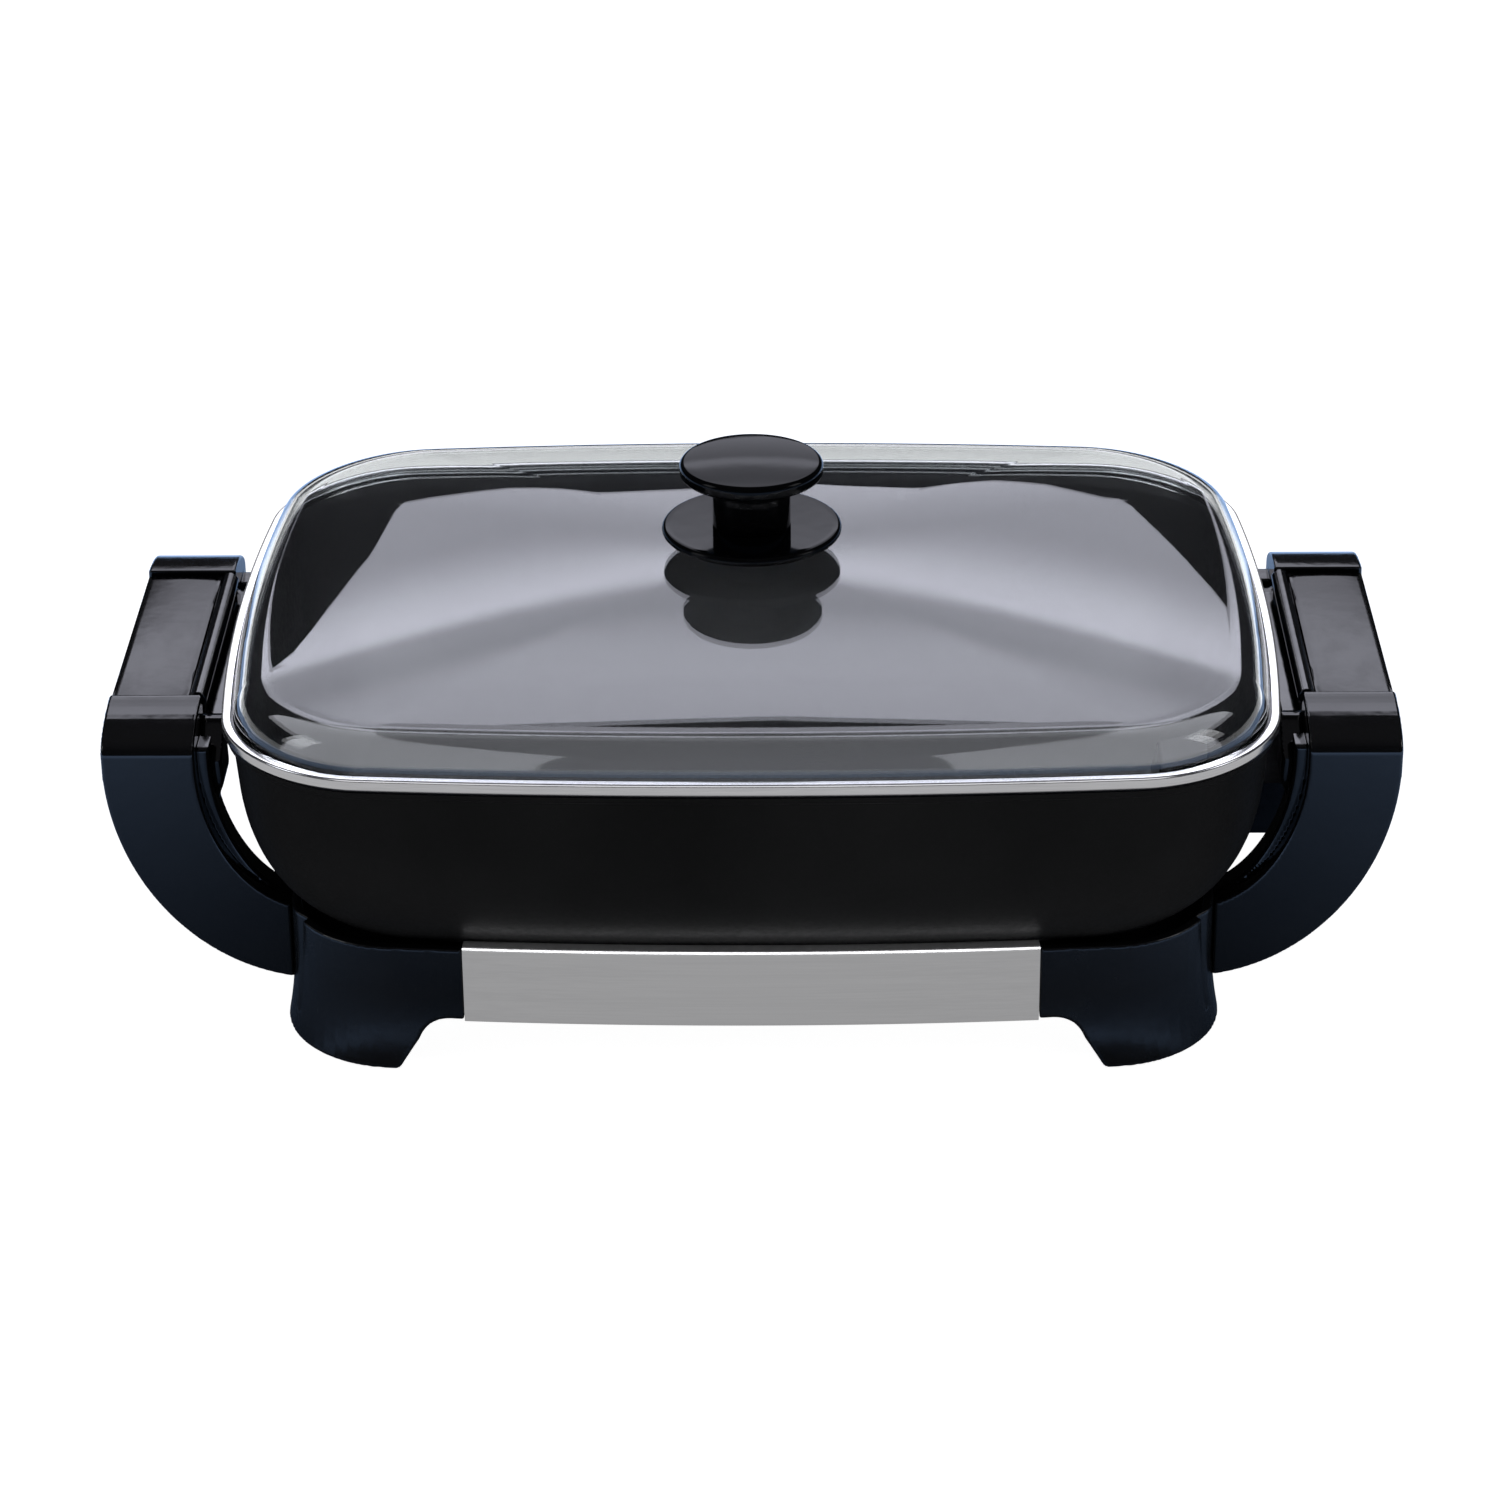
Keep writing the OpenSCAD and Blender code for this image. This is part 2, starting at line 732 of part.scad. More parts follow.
// A band that follows the base's outline between the insets near and far
module strip_slice(near, far, z, height) {
    intersection() {
        translate([0, 0, z]) linear_extrude(height) difference() {
            base_plan(near);
            base_plan(far);
        }
        bar([-strip_half, 0, 0], [strip_half, base_y + 5, stand_h * 2]);
    }
}

// One steel strip, drawn for the rear: a face, two folds and a stepped tab at each end
module strip() {
    strip_slice(-strip_proud, strip_t - strip_proud, strip_z, strip_h);
    strip_slice(-strip_proud, strip_fold - strip_proud, strip_top - strip_t, strip_t);
    strip_slice(-strip_proud, strip_fold - strip_proud, strip_z, strip_t);
    for (side = [-1, 1]) on_side(side) {
        difference() {
            union() {
                bar([strip_half - strip_t, tab_y - strip_t, tab_z],
                    [strip_half, tab_y + tab_step, tab_z + tab_h]);
                bar([strip_half - strip_t, tab_y - strip_t, tab_z],
                    [strip_half + tab_len, tab_y, tab_z + tab_h]);
            }
            for (z = strip_screw_z)
                rod_y([tab_x, tab_y - 3, z], 5, shank_r + screw_gap);
        }
    }
}

module strip_front() { color("#b9bbbc") on_end(-1) strip(); }
module strip_rear() { color("#b9bbbc") on_end(1) strip(); }

module strip_screws() {
    color("#b8babd") four_ways() for (z = strip_screw_z)
        translate([tab_x, tab_y - strip_t, z]) rotate([90, 0, 0]) screw(strip_t + 2);
}

// A steel rail from the front leg to the rear leg, under the pan
module rail() {
    half = shelf_y + 7;
    difference() {
        bar([rail_x - rail_w / 2, -half, rail_z], [rail_x + rail_w / 2, half, rail_z + rail_t]);
        for (end = [-1, 1])
            for (y = [boss_y, shelf_y])
                translate([rail_x, end * y, rail_z - 1])
                    cylinder(h = rail_t + 2, r = shank_r + screw_gap);
        bar([rail_x - rail_slot_w / 2, 2 * boss_r - boss_y, rail_z - 1],
            [rail_x + rail_slot_w / 2, boss_y - 2 * boss_r, rail_z + rail_t + 1]);
    }
}

module rail_left() { color("#9a9c9e") on_side(-1) rail(); }
module rail_right() { color("#9a9c9e") on_side(1) rail(); }

module pan_screws() {
    color("#b8babd") four_ways() translate([rail_x, boss_y, rail_z])
        rotate([180, 0, 0]) screw(rail_t + boss_h - 2.5);
}

module leg_screws() {
    color("#b8babd") four_ways() translate([rail_x, shelf_y, rail_z + rail_t])
        screw(rail_t + shelf_h - 1);
}

module foot_pads() {
    color("#1e1e1e") four_ways() translate([foot_x, foot_y, 0])
        cylinder(h = pad_h, r = pad_r);
}

// ---------- lid ----------

// Height of the glass between its shoulder and its middle
function dome_h(s) = lid_dome_rise * (1 - s * s);

// Rings of the glass wall and dome, flat round the hole, for a skin that lies w below the outside
function glass_rings(w) = concat(
    [for (k = [0:round_steps])
        let (t = 90 * k / round_steps)
        rim_ring(glass_wall_in + lid_wall_run * (1 - cos(t)) + w * cos(t),
                 glass_lip_z + lid_wall_rise * sin(t) - w * sin(t))],
    [for (s = [0.9, 0.75, 0.6, 0.45, 0.3, 0.15]) dome_ring(s, shoulder_z + dome_h(s) - w)],
    [hole_ring(glass_land_r, dome_z - w), hole_ring(glass_hole_r, dome_z - w)]);

module lid_glass() {
    outside = glass_rings(0);
    inside = glass_rings(glass_t);
    color("#9aa3ad", 0.45) loft(concat(
        [rim_ring(glass_in, glass_edge_z), rim_ring(glass_in, glass_lip_z)],
        outside,
        [for (k = [len(inside) - 1:-1:1]) inside[k]],
        [rim_ring(glass_wall_in + glass_t, glass_edge_z)]), closed = true);
}

module lid_band() {
    low = band_z + band_t;
    high = band_top - band_t;
    color("#c8cacc") loft([
        rim_ring(band_under, low), rim_ring(band_under, band_z), rim_ring(band_edge, band_z),
        rim_ring(0, band_z + band_edge), rim_ring(0, band_top - band_edge),
        rim_ring(band_edge, band_top), rim_ring(band_lip, band_top), rim_ring(band_lip, high),
        rim_ring(band_t, high), rim_ring(band_t, low)], closed = true);
}

module knob_skirt() {
    boss = 13;
    low = skirt_top_z - skirt_t;
    color("#0b0c0f") rotate_extrude($fn = 96) polygon([
        [3, skirt_base_z], [boss, skirt_base_z], [boss + 1, skirt_base_z + 3],
        [boss + 5, low - 1.2], [skirt_r - 2, low], [skirt_r - 0.5, low + 0.7],
        [skirt_r, low + 1.7], [skirt_r - 0.3, skirt_top_z - 0.7],
        [skirt_r - 1.1, skirt_top_z], [3, skirt_top_z]]);
}

module knob() {
    under = knob_edge_z - knob_t;
    nut_r = 2.5;
    color("#0b0c0f") rotate_extrude($fn = 96) polygon([
        [nut_r, skirt_top_z], [stem_r, skirt_top_z], [stem_r, under - 5],
        [stem_r + 0.6, under - 2.4], [stem_r + 2.4, under - 0.6], [stem_r + 5, under],
        [knob_r - 2, under], [knob_r - 0.7, under + 0.6], [knob_r, under + 1.9],
        [knob_r, knob_edge_z - 1.9], [knob_r - 0.6, knob_edge_z - 0.6],
        [knob_r - 2, knob_edge_z], [knob_r * 0.5, knob_edge_z + 1.1], [0, knob_edge_z + 1.5],
        [0, under - 3], [nut_r, under - 3]]);
}

module knob_screw() {
    head_z = dome_z - glass_t - gasket_t - knob_washer_t;
    color("#c2c4c6") difference() {
        union() {
            translate([0, 0, head_z - knob_head_h]) cylinder(h = knob_head_h, r = 5);
            translate([0, 0, head_z]) cylinder(h = knob_edge_z - knob_t - 6 - head_z,
                                               r = knob_shank_r);
        }
        for (turn = [0, 90])
            rotate(turn) translate([-2.6, -0.6, head_z - knob_head_h - 1.4])
                cube([5.2, 1.2, 2.6]);
    }
}

module knob_washer() {
    color("#c2c4c6") translate([0, 0, dome_z - glass_t - gasket_t - knob_washer_t])
        difference() {
            cylinder(h = knob_washer_t, r = 9);
            translate([0, 0, -1]) cylinder(h = 3, r = knob_shank_r + screw_gap);
        }
}

module knob_gaskets() {
    color("#8f8f8a") for (z = [dome_z, dome_z - glass_t - gasket_t])
        translate([0, 0, z]) difference() {
            cylinder(h = gasket_t, r = gasket_r);
            translate([0, 0, -1]) cylinder(h = 3, r = knob_shank_r + screw_gap);
        }
}

// ---------- heat control ----------

// Outside of the case with its nose, as one solid block
module case_block(shrink) {
    bar([case_in + shrink, shrink - case_w / 2, socket_z - case_h / 2 + shrink],
        [case_out - shrink, case_w / 2 - shrink, socket_z + case_h / 2 - shrink]);
    bar([nose_in + shrink, shrink - nose_w / 2, nose_z + shrink],
        [case_in + 2 * shrink + 1, nose_w / 2 - shrink, nose_z + nose_h - shrink]);
}

// The hollow case with all its openings, before it is split
module case_shell() {
    difference() {
        union() {
            difference() {
                case_block(0);
                case_block(case_wall);
            }
            for (side = [-1, 1])
                translate([case_screw_x, side * case_screw_y, socket_z - case_h / 2])
                    cylinder(h = case_h, r = 3.6);
        }
        rod_x([nose_in - 1, 0, probe_z], case_in + 6 - nose_in, probe_r + screw_gap);
        for (side = [-1, 1]) {
            rod_x([nose_in - 1, side * pin_half_y, pin_z], case_wall + 2, pin_r + slide_gap);
            translate([case_screw_x, side * case_screw_y, socket_z - case_h / 2 - 1])
                cylinder(h = case_h - 2, r = shank_r + screw_gap);
        }
        rod_x([case_out - case_wall - 1, 0, socket_z], case_wall + 2, shaft_r + turn_gap);
        rod_x([case_out - case_wall - 1, lens_y, socket_z], case_wall + 2, lens_r + screw_gap);
        rod_y([gland_x, case_w / 2 - case_wall - 1, socket_z], case_wall + 2,
              gland_r + screw_gap);
    }
}

module control_case_upper() {
    color("#141518") intersection() {
        case_shell();
        bar([nose_in - 1, -case_w, socket_z], [case_out + 1, case_w, socket_z + case_h]);
    }
}

module control_case_lower() {
    color("#141518") intersection() {
        case_shell();
        bar([nose_in - 1, -case_w, socket_z - case_h], [case_out + 1, case_w, socket_z]);
    }
}

module case_screws() {
    color("#b8babd") for (side = [-1, 1])
        translate([case_screw_x, side * case_screw_y, socket_z - case_h / 2])
            rotate([180, 0, 0]) screw(case_h - 4);
}

module probe_rod() {
    tip = lug_out - probe_in + 3;
    color("#c5c7c9") {
        rod_x([tip, 0, probe_z], case_in + 4 - tip, probe_r);
        translate([tip, 0, probe_z]) sphere(probe_r);
    }
}

module contact_sleeves() {
    start = nose_in + case_wall;
    color("#c9b178") for (side = [-1, 1]) difference() {
        rod_x([start, side * pin_half_y, pin_z], case_in - start, sleeve_r);
        rod_x([start - 1, side * pin_half_y, pin_z], case_in - start - 1, pin_r + slide_gap);
    }
}

module thermostat_switch() {
    color("#d9d2c2") difference() {
        bar([case_in + 5, -9, socket_z - case_h / 2 + case_wall],
            [case_out - case_wall - 6, 9, socket_z + 6]);
        rod_x([case_out - case_wall - 13, 0, socket_z], 10, shaft_r + turn_gap);
    }
}

module pilot_lens() {
    color("#c8552a") rod_x([case_out - case_wall, lens_y, socket_z], case_wall + 0.8, lens_r);
}

module pilot_lamp() {
    color("#e0a060") rod_x([case_out - case_wall - 9, lens_y, socket_z], 9, lamp_r);
}

module cord_gland() {
    y = case_w / 2 - case_wall;
    color("#1a1a1c") translate([gland_x, y, socket_z]) rotate([-90, 0, 0]) difference() {
        union() {
            cylinder(h = case_wall + 1, r = gland_r);
            translate([0, 0, case_wall]) cylinder(h = 2, r = gland_flange_r);
            translate([0, 0, -1.8]) cylinder(h = 1.8, r = gland_flange_r);
            translate([0, 0, case_wall]) cylinder(h = 12, r = gland_r - 0.8);
        }
        translate([0, 0, -3]) cylinder(h = case_wall + 20, r = gland_bore_r);
    }
}

module dial_shaft() {
    start = case_out - case_wall - 12;
    color("#b8babd") rod_x([start, 0, socket_z], case_out + slide_gap + dial_t - 1 - start,
                           shaft_r);
}

module dial() {
    x = case_out + slide_gap;
    grips = 18;
    color("#1c1d20") difference() {
        union() {
            rod_x([x, 0, socket_z], 1.6, dial_r);
            rod_x([x, 0, socket_z], dial_t, dial_r * 0.78);
            for (k = [0:grips - 1])
                rod_x([x, dial_r * 0.78 * cos(360 * k / grips),
                       socket_z + dial_r * 0.78 * sin(360 * k / grips)], dial_t, 0.7);
        }
        rod_x([x - 1, 0, socket_z], dial_t, shaft_r);
        bar([x + dial_t - 0.6, -0.5, socket_z + 2], [x + dial_t + 1, 0.5, socket_z + dial_r * 0.7]);
    }
}

pan();
heating_element();
terminal_pins();
terminal_bushings();
socket_guard();
guard_screws();
handle_left();
handle_right();
grip_panel_left();
grip_panel_right();
panel_screws();
leg_front_left();
leg_front_right();
leg_rear_left();
leg_rear_right();
arm_screws();
strip_front();
strip_rear();
strip_screws();
rail_left();
rail_right();
pan_screws();
leg_screws();
foot_pads();
lid_glass();
lid_band();
knob_skirt();
knob();
knob_screw();
knob_washer();
knob_gaskets();
control_case_upper();
control_case_lower();
case_screws();
probe_rod();
contact_sleeves();
thermostat_switch();
pilot_lens();
pilot_lamp();
cord_gland();
dial_shaft();
dial();
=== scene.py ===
import json
import logging
import math
from dataclasses import dataclass
from enum import Enum
from typing import Callable, Iterable, Mapping, Sequence

import bmesh
import bpy
import numpy as np
from mathutils import Matrix, Vector

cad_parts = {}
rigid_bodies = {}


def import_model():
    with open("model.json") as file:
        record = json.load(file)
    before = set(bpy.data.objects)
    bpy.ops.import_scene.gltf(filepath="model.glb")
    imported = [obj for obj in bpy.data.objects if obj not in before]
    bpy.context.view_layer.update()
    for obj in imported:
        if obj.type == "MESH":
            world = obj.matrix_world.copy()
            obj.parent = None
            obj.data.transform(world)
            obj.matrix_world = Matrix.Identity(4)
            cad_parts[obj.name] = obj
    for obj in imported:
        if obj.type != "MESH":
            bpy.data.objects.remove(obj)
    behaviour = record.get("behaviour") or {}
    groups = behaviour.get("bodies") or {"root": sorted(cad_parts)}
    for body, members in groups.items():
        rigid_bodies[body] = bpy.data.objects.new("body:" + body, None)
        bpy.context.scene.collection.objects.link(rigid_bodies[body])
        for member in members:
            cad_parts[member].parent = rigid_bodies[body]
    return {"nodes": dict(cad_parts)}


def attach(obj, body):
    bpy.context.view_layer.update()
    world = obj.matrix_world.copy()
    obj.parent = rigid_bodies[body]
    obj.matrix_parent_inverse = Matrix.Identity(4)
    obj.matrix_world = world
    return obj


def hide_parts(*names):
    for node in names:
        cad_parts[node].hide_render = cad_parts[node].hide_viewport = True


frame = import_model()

log = logging.getLogger("skillet")
MM = 0.001
Array = np.ndarray
Colour = tuple[float, float, float]
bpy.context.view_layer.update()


class Body(Enum):
    """The rigid bodies that pieces ride on."""

    BASE = "base"
    LID = "lid"
    CONTROL = "control"
    DIAL = "dial"


class Axis(Enum):
    """The direction that a prism is extruded in."""

    X = 0
    Y = 1
    Z = 2


# ---------- shader recipes ----------


class Wire:
    """A number on a socket, with arithmetic that adds Math nodes."""

    def __init__(self, recipe: "Recipe", socket: bpy.types.NodeSocket) -> None:
        """Wraps a socket.

        Args:
            recipe: The recipe whose tree holds the socket.
            socket: The output socket.
        """
        self.recipe = recipe
        self.socket = socket

    def _maths(self, operation: str, first: "Wire | float", second: "Wire | float") -> "Wire":
        """Adds one Math node.

        Args:
            operation: The Math node's operation.
            first: The left value.
            second: The right value.

        Returns:
            The node's result.
        """
        node = self.recipe.node("ShaderNodeMath", {"operation": operation}, {0: first, 1: second})
        return self.recipe.wire(node)

    def __add__(self, other: "Wire | float") -> "Wire":
        """Adds a value."""
        return self._maths("ADD", self, other)

    def __radd__(self, other: float) -> "Wire":
        """Adds to a number."""
        return self._maths("ADD", other, self)

    def __sub__(self, other: "Wire | float") -> "Wire":
        """Takes a value away."""
        return self._maths("SUBTRACT", self, other)

    def __rsub__(self, other: float) -> "Wire":
        """Is taken away from a number."""
        return self._maths("SUBTRACT", other, self)

    def __mul__(self, other: "Wire | float") -> "Wire":
        """Multiplies by a value."""
        return self._maths("MULTIPLY", self, other)

    def __rmul__(self, other: float) -> "Wire":
        """Multiplies a number."""
        return self._maths("MULTIPLY", other, self)

    def step(self, low: float, high: float) -> "Wire":
        """Eases from 0 at low to 1 at high.

        Args:
            low: The value that gives 0.
            high: The value that gives 1.

        Returns:
            The eased value.
        """
        node = self.recipe.node(
            "ShaderNodeMapRange", {"interpolation_type": "SMOOTHSTEP"},
            {"Value": self, "From Min": low, "From Max": high})
        return self.recipe.wire(node)


def add_node(tree: bpy.types.NodeTree, kind: str, settings: Mapping[str, object] | None,
             sockets: Mapping[int | str, object] | None) -> bpy.types.Node:
    """Adds any node to a tree.

    Args:
        tree: The node tree.
        kind: The node's type name.
        settings: Its properties, set first; "stops" gives a ramp's stops.
        sockets: The values or links of its input sockets, by name or index.

    Returns:
        The node.
    """
    node = tree.nodes.new(kind)
    for key, value in (settings or {}).items():
        if key == "stops":
            ramp = node.color_ramp.elements
            while len(ramp) < len(value):
                ramp.new(0.5)
            for element, (at, colour) in zip(ramp, value):
                element.position, element.color = at, (*colour, 1.0)
        else:
            setattr(node, key, value)
    for key, value in (sockets or {}).items():
        source = value.socket if isinstance(value, Wire) else value
        if isinstance(source, bpy.types.NodeSocket):
            tree.links.new(source, node.inputs[key])
        else:
            node.inputs[key].default_value = source
    return node


class Recipe:
    """Builds one material's node tree."""

    def __init__(self, name: str, world: bool = False) -> None:
        """Starts an empty material, or an empty world.

        Args:
            name: Its name.
            world: Whether it is a world.
        """
        kept = bpy.data.worlds if world else bpy.data.materials
        self.material = kept.new(name)
        self.material.use_nodes = True
        self.tree = self.material.node_tree
        self.tree.nodes.clear()
        self.place: bpy.types.NodeSocket | None = None

    def node(self, kind: str, settings: Mapping[str, object] | None = None,
             sockets: Mapping[int | str, object] | None = None) -> bpy.types.Node:
        """Adds any node.

        Args:
            kind: The node's type name.
            settings: Its properties, set first; "stops" gives a ramp's stops.
            sockets: The values or links of its input sockets, by name or index.

        Returns:
            The node.
        """
        return add_node(self.tree, kind, settings, sockets)

    def wire(self, node: bpy.types.Node, output: int | str = 0) -> Wire:
        """Wraps one of a node's outputs.

        Args:
            node: The node.
            output: The output's name or index.

        Returns:
            The wrapped output.
        """
        return Wire(self, node.outputs[output])

    def at(self, stretch: Colour = (1.0, 1.0, 1.0), turn: Colour = (0.0, 0.0, 0.0)) -> Wire:
        """Gives Object coordinates, stretched and turned.

        Args:
            stretch: The scale along each axis.
            turn: The turn about each axis, in radians.

        Returns:
            The vector.
        """
        if self.place is None:
            self.place = self.node("ShaderNodeTexCoord").outputs["Object"]
        node = self.node("ShaderNodeMapping", {"vector_type": "POINT"},
                         {"Vector": self.place, "Scale": stretch, "Rotation": turn})
        return self.wire(node)

    def noise(self, scale: float, detail: float = 3.0, roughness: float = 0.5,
              stretch: Colour = (1.0, 1.0, 1.0), turn: Colour = (0.0, 0.0, 0.0)) -> Wire:
        """Adds a noise pattern, about 0.5 on average.

        Args:
            scale: Patches per metre.
            detail: Octaves of detail.
            roughness: How strong the finer octaves are.
            stretch: The scale along each axis.
            turn: The turn about each axis, in radians.

        Returns:
            The pattern's value.
        """
        node = self.node("ShaderNodeTexNoise", {},
                         {"Vector": self.at(stretch, turn), "Scale": scale,
                          "Detail": detail, "Roughness": roughness})
        return self.wire(node, "Fac")

    def specks(self, scale: float, size: float) -> Wire:
        """Adds small round specks, 1 inside a speck.

        Args:
            scale: Specks per metre.
            size: A speck's radius as a share of its cell.

        Returns:
            The mask.
        """
        node = self.node("ShaderNodeTexVoronoi", {}, {"Vector": self.at(), "Scale": scale})
        return 1.0 - self.wire(node, "Distance").step(size * 0.6, size)

    def blend(self, share: Wire, low: Colour, high: Colour) -> Wire:
        """Mixes two colours.

        Args:
            share: How much of the second colour shows.
            low: The first colour.
            high: The second colour.

        Returns:
            The mixed colour.
        """
        node = self.node("ShaderNodeMix", {"data_type": "RGBA", "clamp_factor": True},
                         {0: share, 6: (*low, 1.0), 7: (*high, 1.0)})
        return self.wire(node, 2)

    def relief(self, height: Wire, depth: float, strength: float = 1.0) -> Wire:
        """Turns a height pattern into a normal.

        Args:
            height: The height, from 0 to 1.
            depth: How deep 1 is, in metres.
            strength: The bump's strength.

        Returns:
            The bumped normal.
        """
        node = self.node("ShaderNodeBump", {},
                         {"Height": height, "Distance": depth, "Strength": strength})
        return self.wire(node)

    def finish(self, varying: Mapping[str, Wire], fixed: Mapping[str, object]) -> bpy.types.Material:
        """Closes the tree with the surface shader.

        Args:
            varying: Inputs that change over the surface.
            fixed: Inputs that are the same all over.

        Returns:
            The finished material.
        """
        shader = self.node("ShaderNodeBsdfPrincipled", {}, {**varying, **fixed})
        self.node("ShaderNodeOutputMaterial", {}, {"Surface": shader.outputs[0]})
        for key, value in (("Base Color", "diffuse_color"), ("Roughness", "roughness")):
            if key in fixed:
                setattr(self.material, value, fixed[key])
        return self.material


# ---------- finishes ----------


@dataclass(frozen=True)
class MouldedPlastic:
    """Black moulded resin: flow marks, orange peel, dust in the gloss."""

    name: str
    colour: Colour
    sheen: Colour
    roughness: float
    spread: float
    peel_scale: float
    peel_depth: float
    gloss: float = 0.5

    def make(self) -> bpy.types.Material:
        """Builds the material.

        Returns:
            The material.
        """
        recipe = Recipe(self.name)
        flow = recipe.noise(14.0, 4.0, 0.6, (1.0, 0.35, 1.0))
        smear = recipe.noise(55.0, 5.0, 0.65, (1.0, 0.5, 1.6))
        dust = recipe.specks(900.0, 0.12)
        peel = recipe.noise(self.peel_scale, 2.0, 0.55)
        scuff = recipe.noise(30.0, 6.0, 0.7, (1.0, 9.0, 1.0), (0.0, 0.0, 0.6))
        tone = recipe.blend(flow.step(0.35, 0.75) * 0.8 + dust * 0.2, self.colour, self.sheen)
        rough = (self.roughness + self.spread * smear.step(0.42, 0.75)
                 + self.spread * 0.7 * scuff.step(0.6, 0.72) + dust * 0.12)
        return recipe.finish(
            {"Base Color": tone, "Roughness": rough,
             "Normal": recipe.relief(peel * 0.8 + flow * 0.2, self.peel_depth)},
            {"IOR": 1.52, "Specular IOR Level": self.gloss})


@dataclass(frozen=True)
class NonStickCoating:
    """Sprayed non-stick coating over cast metal: fine mica, faint texture."""

    name: str = "nonstick_coating"
    colour: Colour = (0.0045, 0.0046, 0.005)
    mica: Colour = (0.035, 0.036, 0.039)
    roughness: float = 0.36

    def make(self) -> bpy.types.Material:
        """Builds the material.

        Returns:
            The material.
        """
        recipe = Recipe(self.name)
        spray = recipe.noise(420.0, 4.0, 0.6)
        pool = recipe.noise(9.0, 3.0, 0.5)
        mica = recipe.specks(1500.0, 0.16)
        cast = recipe.noise(60.0, 3.0, 0.55)
        tone = recipe.blend(mica * 0.55 + pool.step(0.3, 0.8) * 0.12, self.colour, self.mica)
        rough = self.roughness + 0.10 * spray.step(0.35, 0.7) + 0.05 * pool - 0.12 * mica
        return recipe.finish(
            {"Base Color": tone, "Roughness": rough,
             "Normal": recipe.relief(spray * 0.7 + cast * 0.3, 0.00006, 0.8)},
            {"IOR": 1.45, "Specular IOR Level": 0.5})


@dataclass(frozen=True)
class WorkedMetal:
    """Bare metal with lines left by brushing, rolling or turning."""

    name: str
    colour: Colour
    shade: Colour
    roughness: float
    spread: float
    stretch: Colour
    line_depth: float
    stain: float = 0.1
    turn: Colour = (0.0, 0.0, 0.0)

    def make(self) -> bpy.types.Material:
        """Builds the material.

        Returns:
            The material.
        """
        recipe = Recipe(self.name)
        coarse = recipe.noise(260.0, 3.0, 0.6, self.stretch, self.turn)
        fine = recipe.noise(1400.0, 2.0, 0.5, self.stretch, self.turn)
        cloud = recipe.noise(16.0, 4.0, 0.6)
        lines = coarse * 0.55 + fine * 0.45
        tone = recipe.blend(lines.step(0.32, 0.68) * 0.5 + cloud.step(0.35, 0.8) * self.stain,
                            self.colour, self.shade)
        rough = self.roughness + self.spread * lines + self.stain * 0.25 * cloud
        return recipe.finish(
            {"Base Color": tone, "Roughness": rough,
             "Normal": recipe.relief(lines, self.line_depth)},
            {"Metallic": 1.0})


@dataclass(frozen=True)
class HeatedSheath:
    """Nickel sheath of the heating element, blued and greyed by heat."""

    name: str = "heated_sheath"

    def make(self) -> bpy.types.Material:
        """Builds the material.

        Returns:
            The material.
        """
        recipe = Recipe(self.name)
        scale = recipe.noise(45.0, 5.0, 0.65)
        bloom = recipe.noise(14.0, 3.0, 0.5)
        tone = recipe.blend(bloom.step(0.35, 0.7), (0.16, 0.145, 0.13), (0.07, 0.075, 0.095))
        rough = 0.36 + 0.3 * scale.step(0.3, 0.75)
        metal = 0.95 - 0.35 * scale.step(0.5, 0.8)
        return recipe.finish(
            {"Base Color": tone, "Roughness": rough, "Metallic": metal,
             "Normal": recipe.relief(scale, 0.00008)}, {})


@dataclass(frozen=True)
class PlainSolid:
    """Rubber, ceramic, silicone and other plain solids with a fine grain."""

    name: str
    colour: Colour
    fleck: Colour
    roughness: float
    grain_scale: float
    grain_depth: float
    fleck_size: float = 0.14
    transmission: float = 0.0

    def make(self) -> bpy.types.Material:
        """Builds the material.

        Returns:
            The material.
        """
        recipe = Recipe(self.name)
        grain = recipe.noise(self.grain_scale, 3.0, 0.6)
        cloud = recipe.noise(40.0, 4.0, 0.6)
        fleck = recipe.specks(700.0, self.fleck_size)
        tone = recipe.blend(cloud.step(0.35, 0.8) * 0.35 + fleck * 0.5, self.colour, self.fleck)
        rough = self.roughness + 0.14 * grain.step(0.3, 0.7) + 0.05 * cloud
        return recipe.finish(
            {"Base Color": tone, "Roughness": rough,
             "Normal": recipe.relief(grain, self.grain_depth)},
            {"Transmission Weight": self.transmission, "IOR": 1.49})


@dataclass(frozen=True)
class TemperedGlass:
    """Clear tempered glass with faint smears and a slight roller wave."""

    name: str = "tempered_glass"
    tint: Colour = (0.955, 0.972, 0.968)

    def make(self) -> bpy.types.Material:
        """Builds the material.

        Returns:
            The material.
        """
        recipe = Recipe(self.name)
        smear = recipe.noise(26.0, 6.0, 0.7, (1.0, 2.2, 1.0), (0.0, 0.0, 0.4))
        wave = recipe.noise(11.0, 1.0, 0.4)
        rough = 0.006 + 0.03 * smear.step(0.55, 0.85)
        return recipe.finish(
            {"Roughness": rough, "Normal": recipe.relief(wave, 0.0001, 0.35)},
            {"Base Color": (*self.tint, 1.0), "Transmission Weight": 1.0, "IOR": 1.5})


